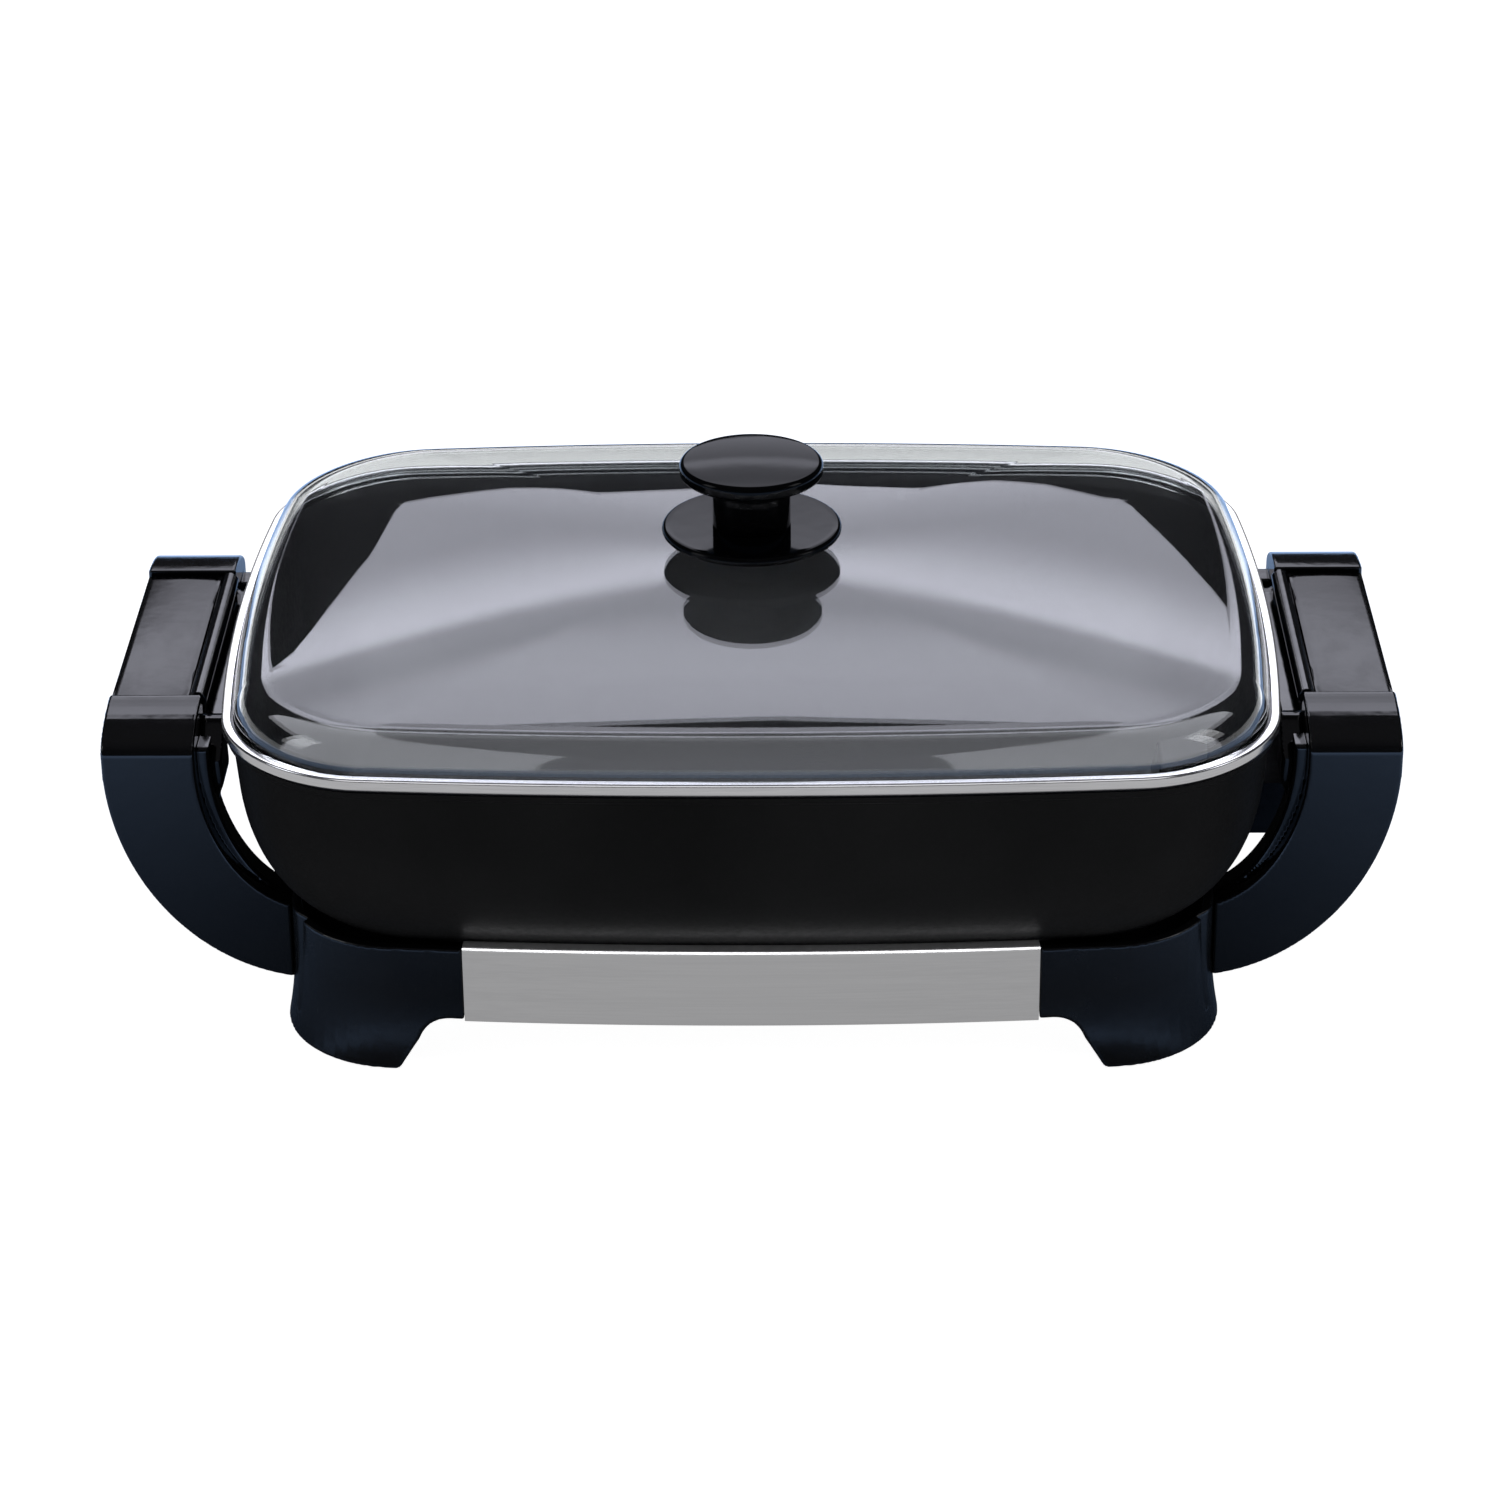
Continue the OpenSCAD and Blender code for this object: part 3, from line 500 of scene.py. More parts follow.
class Finishes:
    """Every finish of the skillet, each made once."""

    def __init__(self) -> None:
        """Makes the materials."""
        along_x, along_y = (0.012, 1.0, 1.0), (1.0, 0.012, 1.0)
        self.phenolic = MouldedPlastic("glossy_phenolic", (0.0022, 0.0025, 0.0032),
                                       (0.0045, 0.005, 0.006), 0.085, 0.06, 95.0, 0.00009).make()
        self.panel = MouldedPlastic("polished_panel", (0.0035, 0.0035, 0.0038),
                                    (0.006, 0.006, 0.0062), 0.10, 0.07, 120.0, 0.00005,
                                    0.3).make()
        self.leg = MouldedPlastic("satin_leg_resin", (0.0028, 0.0031, 0.0038),
                                  (0.006, 0.0065, 0.0075), 0.20, 0.08, 260.0, 0.00008).make()
        self.knob = MouldedPlastic("gloss_knob_resin", (0.002, 0.0022, 0.0028),
                                   (0.004, 0.0043, 0.005), 0.05, 0.04, 80.0, 0.00004,
                                   0.09).make()
        self.case = MouldedPlastic("textured_case_resin", (0.006, 0.0062, 0.0066),
                                   (0.013, 0.0135, 0.0142), 0.42, 0.1, 900.0, 0.00012).make()
        self.coating = NonStickCoating().make()
        self.rim = WorkedMetal("turned_rim_metal", (0.80, 0.80, 0.81), (0.62, 0.62, 0.63),
                               0.22, 0.14, (0.05, 0.05, 1.0), 0.00003).make()
        self.strip = WorkedMetal("brushed_strip_steel", (0.60, 0.60, 0.61), (0.50, 0.50, 0.51),
                                 0.30, 0.14, along_x, 0.00005, 0.08).make()
        self.band = WorkedMetal("rolled_band_steel", (0.80, 0.80, 0.82), (0.66, 0.66, 0.68),
                                0.12, 0.12, (0.06, 0.06, 1.0), 0.00002, 0.06).make()
        self.rail = WorkedMetal("galvanised_rail", (0.55, 0.56, 0.58), (0.38, 0.39, 0.41),
                                0.34, 0.2, along_y, 0.00003, 0.5).make()
        self.screw = WorkedMetal("zinc_screw", (0.66, 0.67, 0.68), (0.5, 0.5, 0.52),
                                 0.24, 0.15, (1.0, 1.0, 1.0), 0.00002, 0.3).make()
        self.brass = WorkedMetal("terminal_brass", (0.62, 0.47, 0.22), (0.45, 0.32, 0.13),
                                 0.25, 0.15, (0.05, 1.0, 1.0), 0.00002, 0.35).make()
        self.probe = WorkedMetal("probe_steel", (0.62, 0.61, 0.6), (0.42, 0.39, 0.36),
                                 0.24, 0.12, (1.0, 0.05, 0.05), 0.00002, 0.5).make()
        self.guard = WorkedMetal("coated_guard_metal", (0.045, 0.046, 0.05), (0.02, 0.021, 0.023),
                                 0.42, 0.16, (1.0, 1.0, 1.0), 0.00006, 0.3).make()
        self.sheath = HeatedSheath().make()
        self.ceramic = PlainSolid("bush_ceramic", (0.72, 0.69, 0.62), (0.55, 0.5, 0.42),
                                  0.45, 500.0, 0.00008).make()
        self.rubber = PlainSolid("pad_rubber", (0.014, 0.014, 0.015), (0.035, 0.035, 0.036),
                                 0.7, 650.0, 0.00014).make()
        self.silicone = PlainSolid("seal_silicone", (0.16, 0.16, 0.17), (0.24, 0.24, 0.25),
                                   0.5, 400.0, 0.00005).make()
        self.lens = PlainSolid("red_lens", (0.55, 0.018, 0.012), (0.7, 0.05, 0.03),
                               0.08, 60.0, 0.00004, 0.08, 0.35).make()
        self.lamp = PlainSolid("lamp_glass", (0.9, 0.55, 0.4), (0.95, 0.7, 0.55),
                               0.06, 60.0, 0.00003, 0.08, 0.6).make()
        self.glass = TemperedGlass().make()


# ---------- mesh work, in millimetres ----------


def to_object(name: str, points: Array, faces: Sequence[Sequence[int]],
              materials: Sequence[bpy.types.Material], normals: Array | None = None,
              picks: Array | None = None, recalculate: bool = True) -> bpy.types.Object:
    """Makes a smooth-shaded mesh object at the origin.

    Args:
        name: The piece's name.
        points: Corner points, in millimetres.
        faces: Corner indices of each face.
        materials: The materials, one slot each.
        normals: A shading normal for each point, if known.
        picks: The material slot of each face.
        recalculate: Whether to turn all faces outward.

    Returns:
        The object.
    """
    mesh = bpy.data.meshes.new(name)
    mesh.from_pydata((np.asarray(points, float) * MM).tolist(), [],
                     [list(map(int, f)) for f in faces])
    for material in materials:
        mesh.materials.append(material)
    if picks is not None:
        mesh.polygons.foreach_set("material_index", np.asarray(picks, np.int32))
    if recalculate:
        shell = bmesh.new()
        shell.from_mesh(mesh)
        bmesh.ops.recalc_face_normals(shell, faces=shell.faces)
        shell.to_mesh(mesh)
        shell.free()
    mesh.polygons.foreach_set("use_smooth", np.ones(len(mesh.polygons), bool))
    mesh.update()
    if normals is not None:
        mesh.normals_split_custom_set_from_vertices(np.asarray(normals, float).tolist())
    piece = bpy.data.objects.new(name, mesh)
    bpy.context.scene.collection.objects.link(piece)
    return piece


def crease(piece: bpy.types.Object, degrees: float) -> None:
    """Keeps edges sharper than an angle crisp in the shading.

    Args:
        piece: The piece.
        degrees: The angle.
    """
    piece.data.set_sharp_from_angle(angle=math.radians(degrees))


def place(piece: bpy.types.Object, body: Body, nodes: Iterable[str]) -> None:
    """Rides a piece on its body, and lets it stand for its nodes.

    Args:
        piece: The piece.
        body: The body that it rides on.
        nodes: The nodes that it replaces.
    """
    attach(piece, body.value)
    nodes = list(nodes)
    if nodes:
        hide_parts(*nodes)
    log.info("%s: %d faces on %s", piece.name, len(piece.data.polygons), body.value)


def skin(rings: Sequence[Array], closed: bool = False,
         start: int = 0) -> tuple[Array, list[tuple[int, ...]]]:
    """Joins rings of points into a skin.

    Args:
        rings: Rings with the same number of points.
        closed: Whether the last ring meets the first; otherwise both ends are capped.
        start: What to add to every index.

    Returns:
        The points and the faces.
    """
    count, total = len(rings[0]), len(rings)
    points = np.vstack(rings)
    faces: list[tuple[int, ...]] = []
    for j in range(total if closed else total - 1):
        low, high = j * count, (j + 1) % total * count
        for i in range(count):
            k = (i + 1) % count
            faces.append((start + low + i, start + low + k, start + high + k, start + high + i))
    if not closed:
        faces.append(tuple(start + i for i in range(count - 1, -1, -1)))
        faces.append(tuple(start + (total - 1) * count + i for i in range(count)))
    return points, faces


def turned(profile: Sequence[tuple[float, float]], centre: Colour = (0.0, 0.0, 0.0),
           axis: Axis = Axis.Z, segments: int = 128,
           start: int = 0) -> tuple[Array, list[tuple[int, ...]]]:
    """Turns a profile of radius and height about an axis.

    Args:
        profile: Radius and height of each ring; the first and last may have radius 0.
        centre: A point on the axis.
        axis: The axis's direction.
        segments: Points round the axis.
        start: What to add to every index.

    Returns:
        The points and the faces.
    """
    angles = np.linspace(0.0, 2 * math.pi, segments, endpoint=False)
    points: list[list[float]] = []
    rows: list[list[int]] = []
    order = {Axis.Z: (0, 1, 2), Axis.X: (1, 2, 0), Axis.Y: (2, 0, 1)}[axis]
    for radius, height in profile:
        first = len(points)
        spokes = angles if radius > 1e-6 else angles[:1]
        for t in spokes:
            p = [0.0, 0.0, 0.0]
            p[order[0]], p[order[1]], p[order[2]] = radius * math.cos(t), radius * math.sin(t), height
            points.append([p[n] + centre[n] for n in range(3)])
        rows.append([first + (i if radius > 1e-6 else 0) for i in range(segments)])
    faces: list[tuple[int, ...]] = []
    for low, high in zip(rows, rows[1:]):
        for i in range(segments):
            k = (i + 1) % segments
            face = list(dict.fromkeys((low[i], low[k], high[k], high[i])))
            if len(face) > 2:
                faces.append(tuple(start + n for n in face))
    return np.array(points), faces


def arc(centre: tuple[float, float], radius: float, start: float, end: float,
        steps: int = 8) -> list[tuple[float, float]]:
    """Points of a circular arc.

    Args:
        centre: The arc's centre.
        radius: Its radius.
        start: The first angle, in degrees.
        end: The last angle, in degrees.
        steps: The number of spans.

    Returns:
        The points.
    """
    return [(centre[0] + radius * math.cos(math.radians(start + (end - start) * k / steps)),
             centre[1] + radius * math.sin(math.radians(start + (end - start) * k / steps)))
            for k in range(steps + 1)]


def filleted(corners: Sequence[tuple[float, float]], radius: float | Sequence[float],
             steps: int = 6) -> list[tuple[float, float]]:
    """Rounds the corners of a closed outline.

    Args:
        corners: The outline's corners.
        radius: One radius, or one for each corner.
        steps: The number of spans in each rounding.

    Returns:
        The rounded outline.
    """
    count = len(corners)
    radii = [radius] * count if isinstance(radius, (int, float)) else list(radius)
    out: list[tuple[float, float]] = []
    for i in range(count):
        before, here, after = (np.array(corners[(i + n) % count], float) for n in (-1, 0, 1))
        to_before, to_after = before - here, after - here
        a, b = np.linalg.norm(to_before), np.linalg.norm(to_after)
        to_before, to_after = to_before / a, to_after / b
        half = math.acos(max(-1.0, min(1.0, float(to_before @ to_after)))) / 2
        reach = min(radii[i] / max(math.tan(half), 1e-6), 0.49 * a, 0.49 * b)
        if radii[i] <= 0 or half > 1.55:
            out.append(tuple(here))
            continue
        first, last = here + to_before * reach, here + to_after * reach
        for k in range(steps + 1):
            u = k / steps
            point = (1 - u) ** 2 * first + 2 * u * (1 - u) * here + u ** 2 * last
            out.append((float(point[0]), float(point[1])))
    return out


@dataclass(frozen=True)
class Outline:
    """A rounded rectangle whose sides bow outward."""

    half_x: float
    half_y: float
    corner: float
    bow_x: float
    bow_y: float
    corner_shrink: float = 1.0
    corner_steps: int = 18
    long_steps: int = 26
    short_steps: int = 18

    def ring(self, inset: float, height: float = 0.0, scale: float = 1.0) -> Array:
        """Points of the outline, pulled in.

        Args:
            inset: How far it is pulled in.
            height: Its height.
            scale: A scale about the middle, applied last.

        Returns:
            The points, counter-clockwise from above.
        """
        a, b = self.half_x - inset - self.bow_x, self.half_y - inset - self.bow_y
        r = self.corner - self.corner_shrink * inset
        path: list[tuple[float, float]] = []
        for q in range(4):
            sx, sy = (1 if q in (0, 3) else -1), (1 if q < 2 else -1)
            cx, cy = sx * (a - r), sy * (b - r)
            path += arc((cx, cy), r, 90 * q, 90 * q + 90, self.corner_steps)
            near = path[-1]
            far = (-sx * (a - r), sy * b) if q % 2 == 0 else (sx * a, -sy * (b - r))
            steps = self.long_steps if q % 2 == 0 else self.short_steps
            path += [(near[0] + (far[0] - near[0]) * j / steps,
                      near[1] + (far[1] - near[1]) * j / steps) for j in range(1, steps)]
        flat = np.array(path)
        x = flat[:, 0] + np.sign(flat[:, 0]) * self.bow_x * (1 - (flat[:, 1] / b) ** 2)
        y = flat[:, 1] + np.sign(flat[:, 1]) * self.bow_y * (1 - (flat[:, 0] / a) ** 2)
        return np.column_stack([x * scale, y * scale, np.full(len(x), height)])


RIM = Outline(200.0, 147.5, 48.0, 10.0, 9.0, 0.35)
BASE = Outline(175.0, 128.5, 38.0, 0.0, 10.0, 1.0, 12, 10, 8)


# ---------- solids from distances ----------


def outline_distance(u: Array, v: Array, outline: Sequence[tuple[float, float]]) -> Array:
    """Signed distance from points to a closed outline, negative inside.

    Args:
        u: First coordinates.
        v: Second coordinates.
        outline: The outline's corners.

    Returns:
        The distances.
    """
    best: Array | float = math.inf
    flip: Array | bool = False
    for (au, av), (bu, bv) in zip(outline, [*outline[1:], outline[0]]):
        eu, ev = bu - au, bv - av
        length = eu * eu + ev * ev
        if length < 1e-12:
            continue
        wu, wv = u - au, v - av
        t = np.clip((wu * eu + wv * ev) / length, 0.0, 1.0)
        best = np.minimum(best, (wu - eu * t) ** 2 + (wv - ev * t) ** 2)
        above, below, left = v >= av, v < bv, eu * wv > ev * wu
        flip = flip ^ ((above & below & left) | (~above & ~below & ~left))
    return np.where(flip, -1.0, 1.0) * np.sqrt(best)


@dataclass(frozen=True)
class Solid:
    """A solid given by its signed distance, negative inside."""

    distance: Callable[[Array, Array, Array], Array]

    def __or__(self, other: "Solid") -> "Solid":
        """Joins two solids."""
        return Solid(lambda x, y, z: np.minimum(self.distance(x, y, z), other.distance(x, y, z)))

    def __and__(self, other: "Solid") -> "Solid":
        """Keeps what two solids share."""
        return Solid(lambda x, y, z: np.maximum(self.distance(x, y, z), other.distance(x, y, z)))

    def melt(self, other: "Solid", radius: float) -> "Solid":
        """Joins two solids with a fillet.

        Args:
            other: The other solid.
            radius: The fillet's size.

        Returns:
            The joined solid.
        """
        def distance(x: Array, y: Array, z: Array) -> Array:
            """Distance to the joined solid."""
            a, b = self.distance(x, y, z), other.distance(x, y, z)
            h = np.maximum(radius - np.abs(a - b), 0.0) / radius
            return np.minimum(a, b) - h * h * radius / 4
        return Solid(distance)

    def cut(self, other: "Solid", radius: float) -> "Solid":
        """Takes a solid away, with the edge rounded.

        Args:
            other: What is taken away.
            radius: The rounding's size.

        Returns:
            What is left.
        """
        def distance(x: Array, y: Array, z: Array) -> Array:
            """Distance to what is left."""
            a, b = self.distance(x, y, z), -other.distance(x, y, z)
            h = np.maximum(radius - np.abs(a - b), 0.0) / radius
            return np.maximum(a, b) + h * h * radius / 4
        return Solid(distance)


def prism(outline: Sequence[tuple[float, float]], axis: Axis, low: float, high: float,
          rounding: float) -> Solid:
    """Extrudes an outline, with both ends' edges rounded.

    Args:
        outline: Its corners; along X in (y, z), along Y in (x, z), along Z in (x, y).
        axis: The direction.
        low: Where it starts.
        high: Where it ends.
        rounding: The radius on the edges of its ends.

    Returns:
        The solid.
    """
    mid, half = (low + high) / 2, (high - low) / 2

    def distance(x: Array, y: Array, z: Array) -> Array:
        """Distance to the prism."""
        u, v, w = {Axis.X: (y, z, x), Axis.Y: (x, z, y), Axis.Z: (x, y, z)}[axis]
        side = outline_distance(u, v, outline) + rounding
        end = np.abs(w - mid) - half + rounding
        out = np.hypot(np.maximum(side, 0.0), np.maximum(end, 0.0))
        return np.minimum(np.maximum(side, end), 0.0) + out - rounding
    return Solid(distance)


def block(low: Colour, high: Colour, rounding: float = 0.0) -> Solid:
    """A box with rounded edges.

    Args:
        low: Its lowest corner.
        high: Its highest corner.
        rounding: The radius on its edges.

    Returns:
        The solid.
    """
    mid = [(a + b) / 2 for a, b in zip(low, high)]
    half = [(b - a) / 2 - rounding for a, b in zip(low, high)]

    def distance(x: Array, y: Array, z: Array) -> Array:
        """Distance to the box."""
        a, b, c = (np.abs(p - m) - h for p, m, h in zip((x, y, z), mid, half))
        out = np.sqrt(np.maximum(a, 0.0) ** 2 + np.maximum(b, 0.0) ** 2 + np.maximum(c, 0.0) ** 2)
        return out + np.minimum(np.maximum(np.maximum(a, b), c), 0.0) - rounding
    return Solid(distance)


def rod(x0: float, y0: float, radius: float, low: float, high: float) -> Solid:
    """An upright cylinder.

    Args:
        x0: Its centre along X.
        y0: Its centre along Y.
        radius: Its radius.
        low: Its foot.
        high: Its top.

    Returns:
        The solid.
    """
    mid, half = (low + high) / 2, (high - low) / 2
    return Solid(lambda x, y, z: np.maximum(np.hypot(x - x0, y - y0) - radius,
                                            np.abs(z - mid) - half))


CORNERS = [(i, j, k) for i in (0, 1) for j in (0, 1) for k in (0, 1)]


def carve(solid: Solid, low: Colour, high: Colour,
          step: float) -> tuple[Array, Array, Array]:
    """Meshes a solid with a net of even quads laid exactly on its surface.

    Args:
        solid: The solid.
        low: The lowest corner of the space to look in.
        high: The highest corner.
        step: The size of a quad.

    Returns:
        The points, the faces and a shading normal for each point.
    """
    lines = [np.arange(a - 1.37 * step, b + 2 * step, step) for a, b in zip(low, high)]
    x, y, z = lines[0][:, None, None], lines[1][None, :, None], lines[2][None, None, :]
    shape = tuple(len(line) for line in lines)
    field_ = np.broadcast_to(solid.distance(x, y, z), shape)
    parts = {c: field_[c[0]:shape[0] - 1 + c[0], c[1]:shape[1] - 1 + c[1],
                       c[2]:shape[2] - 1 + c[2]] for c in CORNERS}
    inside = sum((parts[c] < 0).astype(np.int8) for c in CORNERS)
    active = (inside > 0) & (inside < 8)
    index = np.full(active.shape, -1, np.int64)
    cells = np.argwhere(active)
    index[active] = np.arange(len(cells))
    total, hits = np.zeros((len(cells), 3)), np.zeros(len(cells))
    for c in CORNERS:
        for axis in range(3):
            if c[axis]:
                continue
            d = tuple(1 if n == axis else c[n] for n in range(3))
            a, b = parts[c][active], parts[d][active]
            crosses = (a < 0) != (b < 0)
            share = np.where(crosses, a / np.where(crosses, a - b, 1.0), 0.0)
            at = np.array(c, float)[None, :].repeat(len(cells), 0)
            at[:, axis] += share
            total[crosses] += at[crosses]
            hits += crosses
    points = (cells + total / hits[:, None]) * step + np.array([line[0] for line in lines])
    faces = []
    for axis in range(3):
        p, q = (axis + 1) % 3, (axis + 2) % 3
        first = np.moveaxis(field_, (axis, p, q), (0, 1, 2))
        cell = np.moveaxis(index, (axis, p, q), (0, 1, 2))
        a, b = first[:-1, 1:-1, 1:-1] < 0, first[1:, 1:-1, 1:-1] < 0
        quad = np.stack([cell[:, :-1, :-1], cell[:, 1:, :-1], cell[:, 1:, 1:], cell[:, :-1, 1:]], -1)
        faces += [quad[a & ~b], quad[~a & b][:, ::-1]]
    quads = np.vstack(faces)

    def slope(at: Array, reach: float) -> Array:
        """Gradient of the distance at some points."""
        out = np.empty_like(at)
        for n in range(3):
            ahead, behind = at.copy(), at.copy()
            ahead[:, n] += reach
            behind[:, n] -= reach
            out[:, n] = (solid.distance(*ahead.T) - solid.distance(*behind.T)) / (2 * reach)
        return out

    for _ in range(3):
        off, lean = solid.distance(*points.T), slope(points, 0.05)
        shift = lean * (off / np.maximum((lean ** 2).sum(1), 0.2))[:, None]
        points = points - np.clip(shift, -0.6 * step, 0.6 * step)
    normals = slope(points, 0.12)
    normals /= np.maximum(np.linalg.norm(normals, axis=1), 1e-9)[:, None]
    return points, quads, normals


def mirrored(points: Array, faces: Array, normals: Array, flip_x: bool,
             flip_y: bool) -> tuple[Array, Array, Array]:
    """Mirrors a mesh and keeps its faces outward.

    Args:
        points: The points.
        faces: The faces.
        normals: The normals.
        flip_x: Whether to mirror left and right.
        flip_y: Whether to mirror front and back.

    Returns:
        The points, the faces and the normals.
    """
    sign = np.array([-1.0 if flip_x else 1.0, -1.0 if flip_y else 1.0, 1.0])
    return points * sign, faces[:, ::-1] if flip_x != flip_y else faces, normals * sign


# ---------- geometry node trees ----------


class Growth:
    """Builds one Geometry Nodes tree with named inputs, and runs it."""

    KINDS = {float: "NodeSocketFloat", int: "NodeSocketInt", bpy.types.Object: "NodeSocketObject",
             bpy.types.Material: "NodeSocketMaterial"}

    def __init__(self, name: str, inputs: Mapping[str, type]) -> None:
        """Starts a tree.

        Args:
            name: The tree's name.
            inputs: The named inputs and their kinds.
        """
        self.tree = bpy.data.node_groups.new(name, "GeometryNodeTree")
        self.tree.interface.new_socket("Geometry", in_out="OUTPUT", socket_type="NodeSocketGeometry")
        self.ids: dict[str, str] = {}
        for label, kind in inputs.items():
            socket = self.tree.interface.new_socket(label, in_out="INPUT",
                                                    socket_type=self.KINDS[kind])
            self.ids[label] = socket.identifier
        self.inputs = self.tree.nodes.new("NodeGroupInput")

    def node(self, kind: str, settings: Mapping[str, object] | None = None,
             sockets: Mapping[int | str, object] | None = None) -> bpy.types.Node:
        """Adds a node.

        Args:
            kind: The node's type name.
            settings: Its properties, set first.
            sockets: The values or links of its input sockets.

        Returns:
            The node.
        """
        return add_node(self.tree, kind, settings, sockets)

    def given(self, label: str) -> bpy.types.NodeSocket:
        """Finds a named input's socket.

        Args:
            label: The input's name.

        Returns:
            Its socket.
        """
        return self.inputs.outputs[label]

    def end(self, geometry: bpy.types.NodeSocket) -> None:
        """Closes the tree with smooth shading, real instances and the material.

        Args:
            geometry: The geometry to end with.
        """
        real = self.node("GeometryNodeRealizeInstances", {}, {"Geometry": geometry})
        smooth = self.node("GeometryNodeSetShadeSmooth", {}, {"Geometry": real.outputs[0]})
        dress = self.node("GeometryNodeSetMaterial", {},
                          {"Geometry": smooth.outputs[0], "Material": self.given("Material")})
        out = self.tree.nodes.new("NodeGroupOutput")
        self.tree.links.new(dress.outputs[0], out.inputs[0])

    def run(self, name: str, values: Mapping[str, object]) -> bpy.types.Object:
        """Runs the tree and keeps the result as a plain mesh.

        Args:
            name: The piece's name.
            values: A value for each named input.

        Returns:
            The piece.
        """
        host = bpy.data.objects.new(name + "_host", bpy.data.meshes.new(name + "_host"))
        bpy.context.scene.collection.objects.link(host)
        modifier = host.modifiers.new("Growth", "NODES")
        modifier.node_group = self.tree
        for label, value in values.items():
            modifier[self.ids[label]] = value
        bpy.context.view_layer.update()
        graph = bpy.context.evaluated_depsgraph_get()
        mesh = bpy.data.meshes.new_from_object(host.evaluated_get(graph), depsgraph=graph)
        host.modifiers.remove(modifier)
        bpy.data.objects.remove(host)
        mesh.name = name
        if not mesh.materials:
            mesh.materials.append(values["Material"])
        piece = bpy.data.objects.new(name, mesh)
        bpy.context.scene.collection.objects.link(piece)
        return piece


def helper(name: str, points: Array, edges: Sequence[tuple[int, int]] = (),
           faces: Sequence[Sequence[int]] = ()) -> bpy.types.Object:
    """Makes a helper object that a tree reads, in metres.

    Args:
        name: Its name.
        points: Its points, in millimetres.
        edges: Its edges.
        faces: Its faces.

    Returns:
        The helper object.
    """
    mesh = bpy.data.meshes.new(name)
    mesh.from_pydata((np.asarray(points, float) * MM).tolist(), list(edges), list(faces))
    thing = bpy.data.objects.new(name, mesh)
    bpy.context.scene.collection.objects.link(thing)
    return thing


def loop_edges(count: int, closed: bool) -> list[tuple[int, int]]:
    """Edges that join points in a row or a ring.

    Args:
        count: The number of points.
        closed: Whether the last point joins the first.

    Returns:
        The edges.
    """
    return [(i, (i + 1) % count) for i in range(count if closed else count - 1)]


class SectionSweep:
    """Sweeps a section along a level path, as rolled or folded sheet is made."""

    def __init__(self) -> None:
        """Builds the tree once."""
        self.growth = Growth("section_sweep", {
            "Path": bpy.types.Object, "Section": bpy.types.Object,
            "Section Size": float, "Material": bpy.types.Material})
        g = self.growth
        path = g.node("GeometryNodeObjectInfo", {}, {"Object": g.given("Path")})
        section = g.node("GeometryNodeObjectInfo", {}, {"Object": g.given("Section")})
        rail = g.node("GeometryNodeMeshToCurve", {}, {0: path.outputs["Geometry"]})
        level = g.node("GeometryNodeSetCurveNormal", {}, {"Curve": rail.outputs[0]})
        if hasattr(level, "mode"):
            level.mode = "Z_UP"
        else:
            level.inputs["Mode"].default_value = "Z Up"
        sized = g.node("GeometryNodeTransform", {}, {"Geometry": section.outputs["Geometry"]})
        scale = g.node("ShaderNodeCombineXYZ", {}, {0: g.given("Section Size"),
                                                    1: g.given("Section Size"),
                                                    2: g.given("Section Size")})
        g.tree.links.new(scale.outputs[0], sized.inputs["Scale"])
        shape = g.node("GeometryNodeMeshToCurve", {}, {0: sized.outputs[0]})
        swept = g.node("GeometryNodeCurveToMesh", {},
                       {"Curve": level.outputs[0], "Profile Curve": shape.outputs[0],
                        "Fill Caps": True})
        g.end(swept.outputs[0])

    def sweep(self, name: str, path: Array, closed: bool, section: Sequence[tuple[float, float]],
              material: bpy.types.Material) -> bpy.types.Object:
        """Sweeps a section given as distance from the path and height.

        Args:
            name: The piece's name.
            path: The path's points.
            closed: Whether the path is a ring.
            section: Corners of the closed section, positive outward and upward.
            material: The finish.

        Returns:
            The swept piece.
        """
        rail = helper(name + "_path", path, loop_edges(len(path), closed))
        flat = np.array([(u, -v, 0.0) for u, v in section])
        shape = helper(name + "_section", flat, loop_edges(len(flat), True))
        piece = self.growth.run(name, {"Path": rail, "Section": shape, "Section Size": 1.0,
                                       "Material": material})
        for thing in (rail, shape):
            bpy.data.objects.remove(thing)
        shell = bmesh.new()
        shell.from_mesh(piece.data)
        bmesh.ops.remove_doubles(shell, verts=shell.verts, dist=1e-6)
        bmesh.ops.recalc_face_normals(shell, faces=shell.faces)
        shell.to_mesh(piece.data)
        shell.free()
        crease(piece, 40.0)
        return piece


# ---------- sub-assemblies ----------


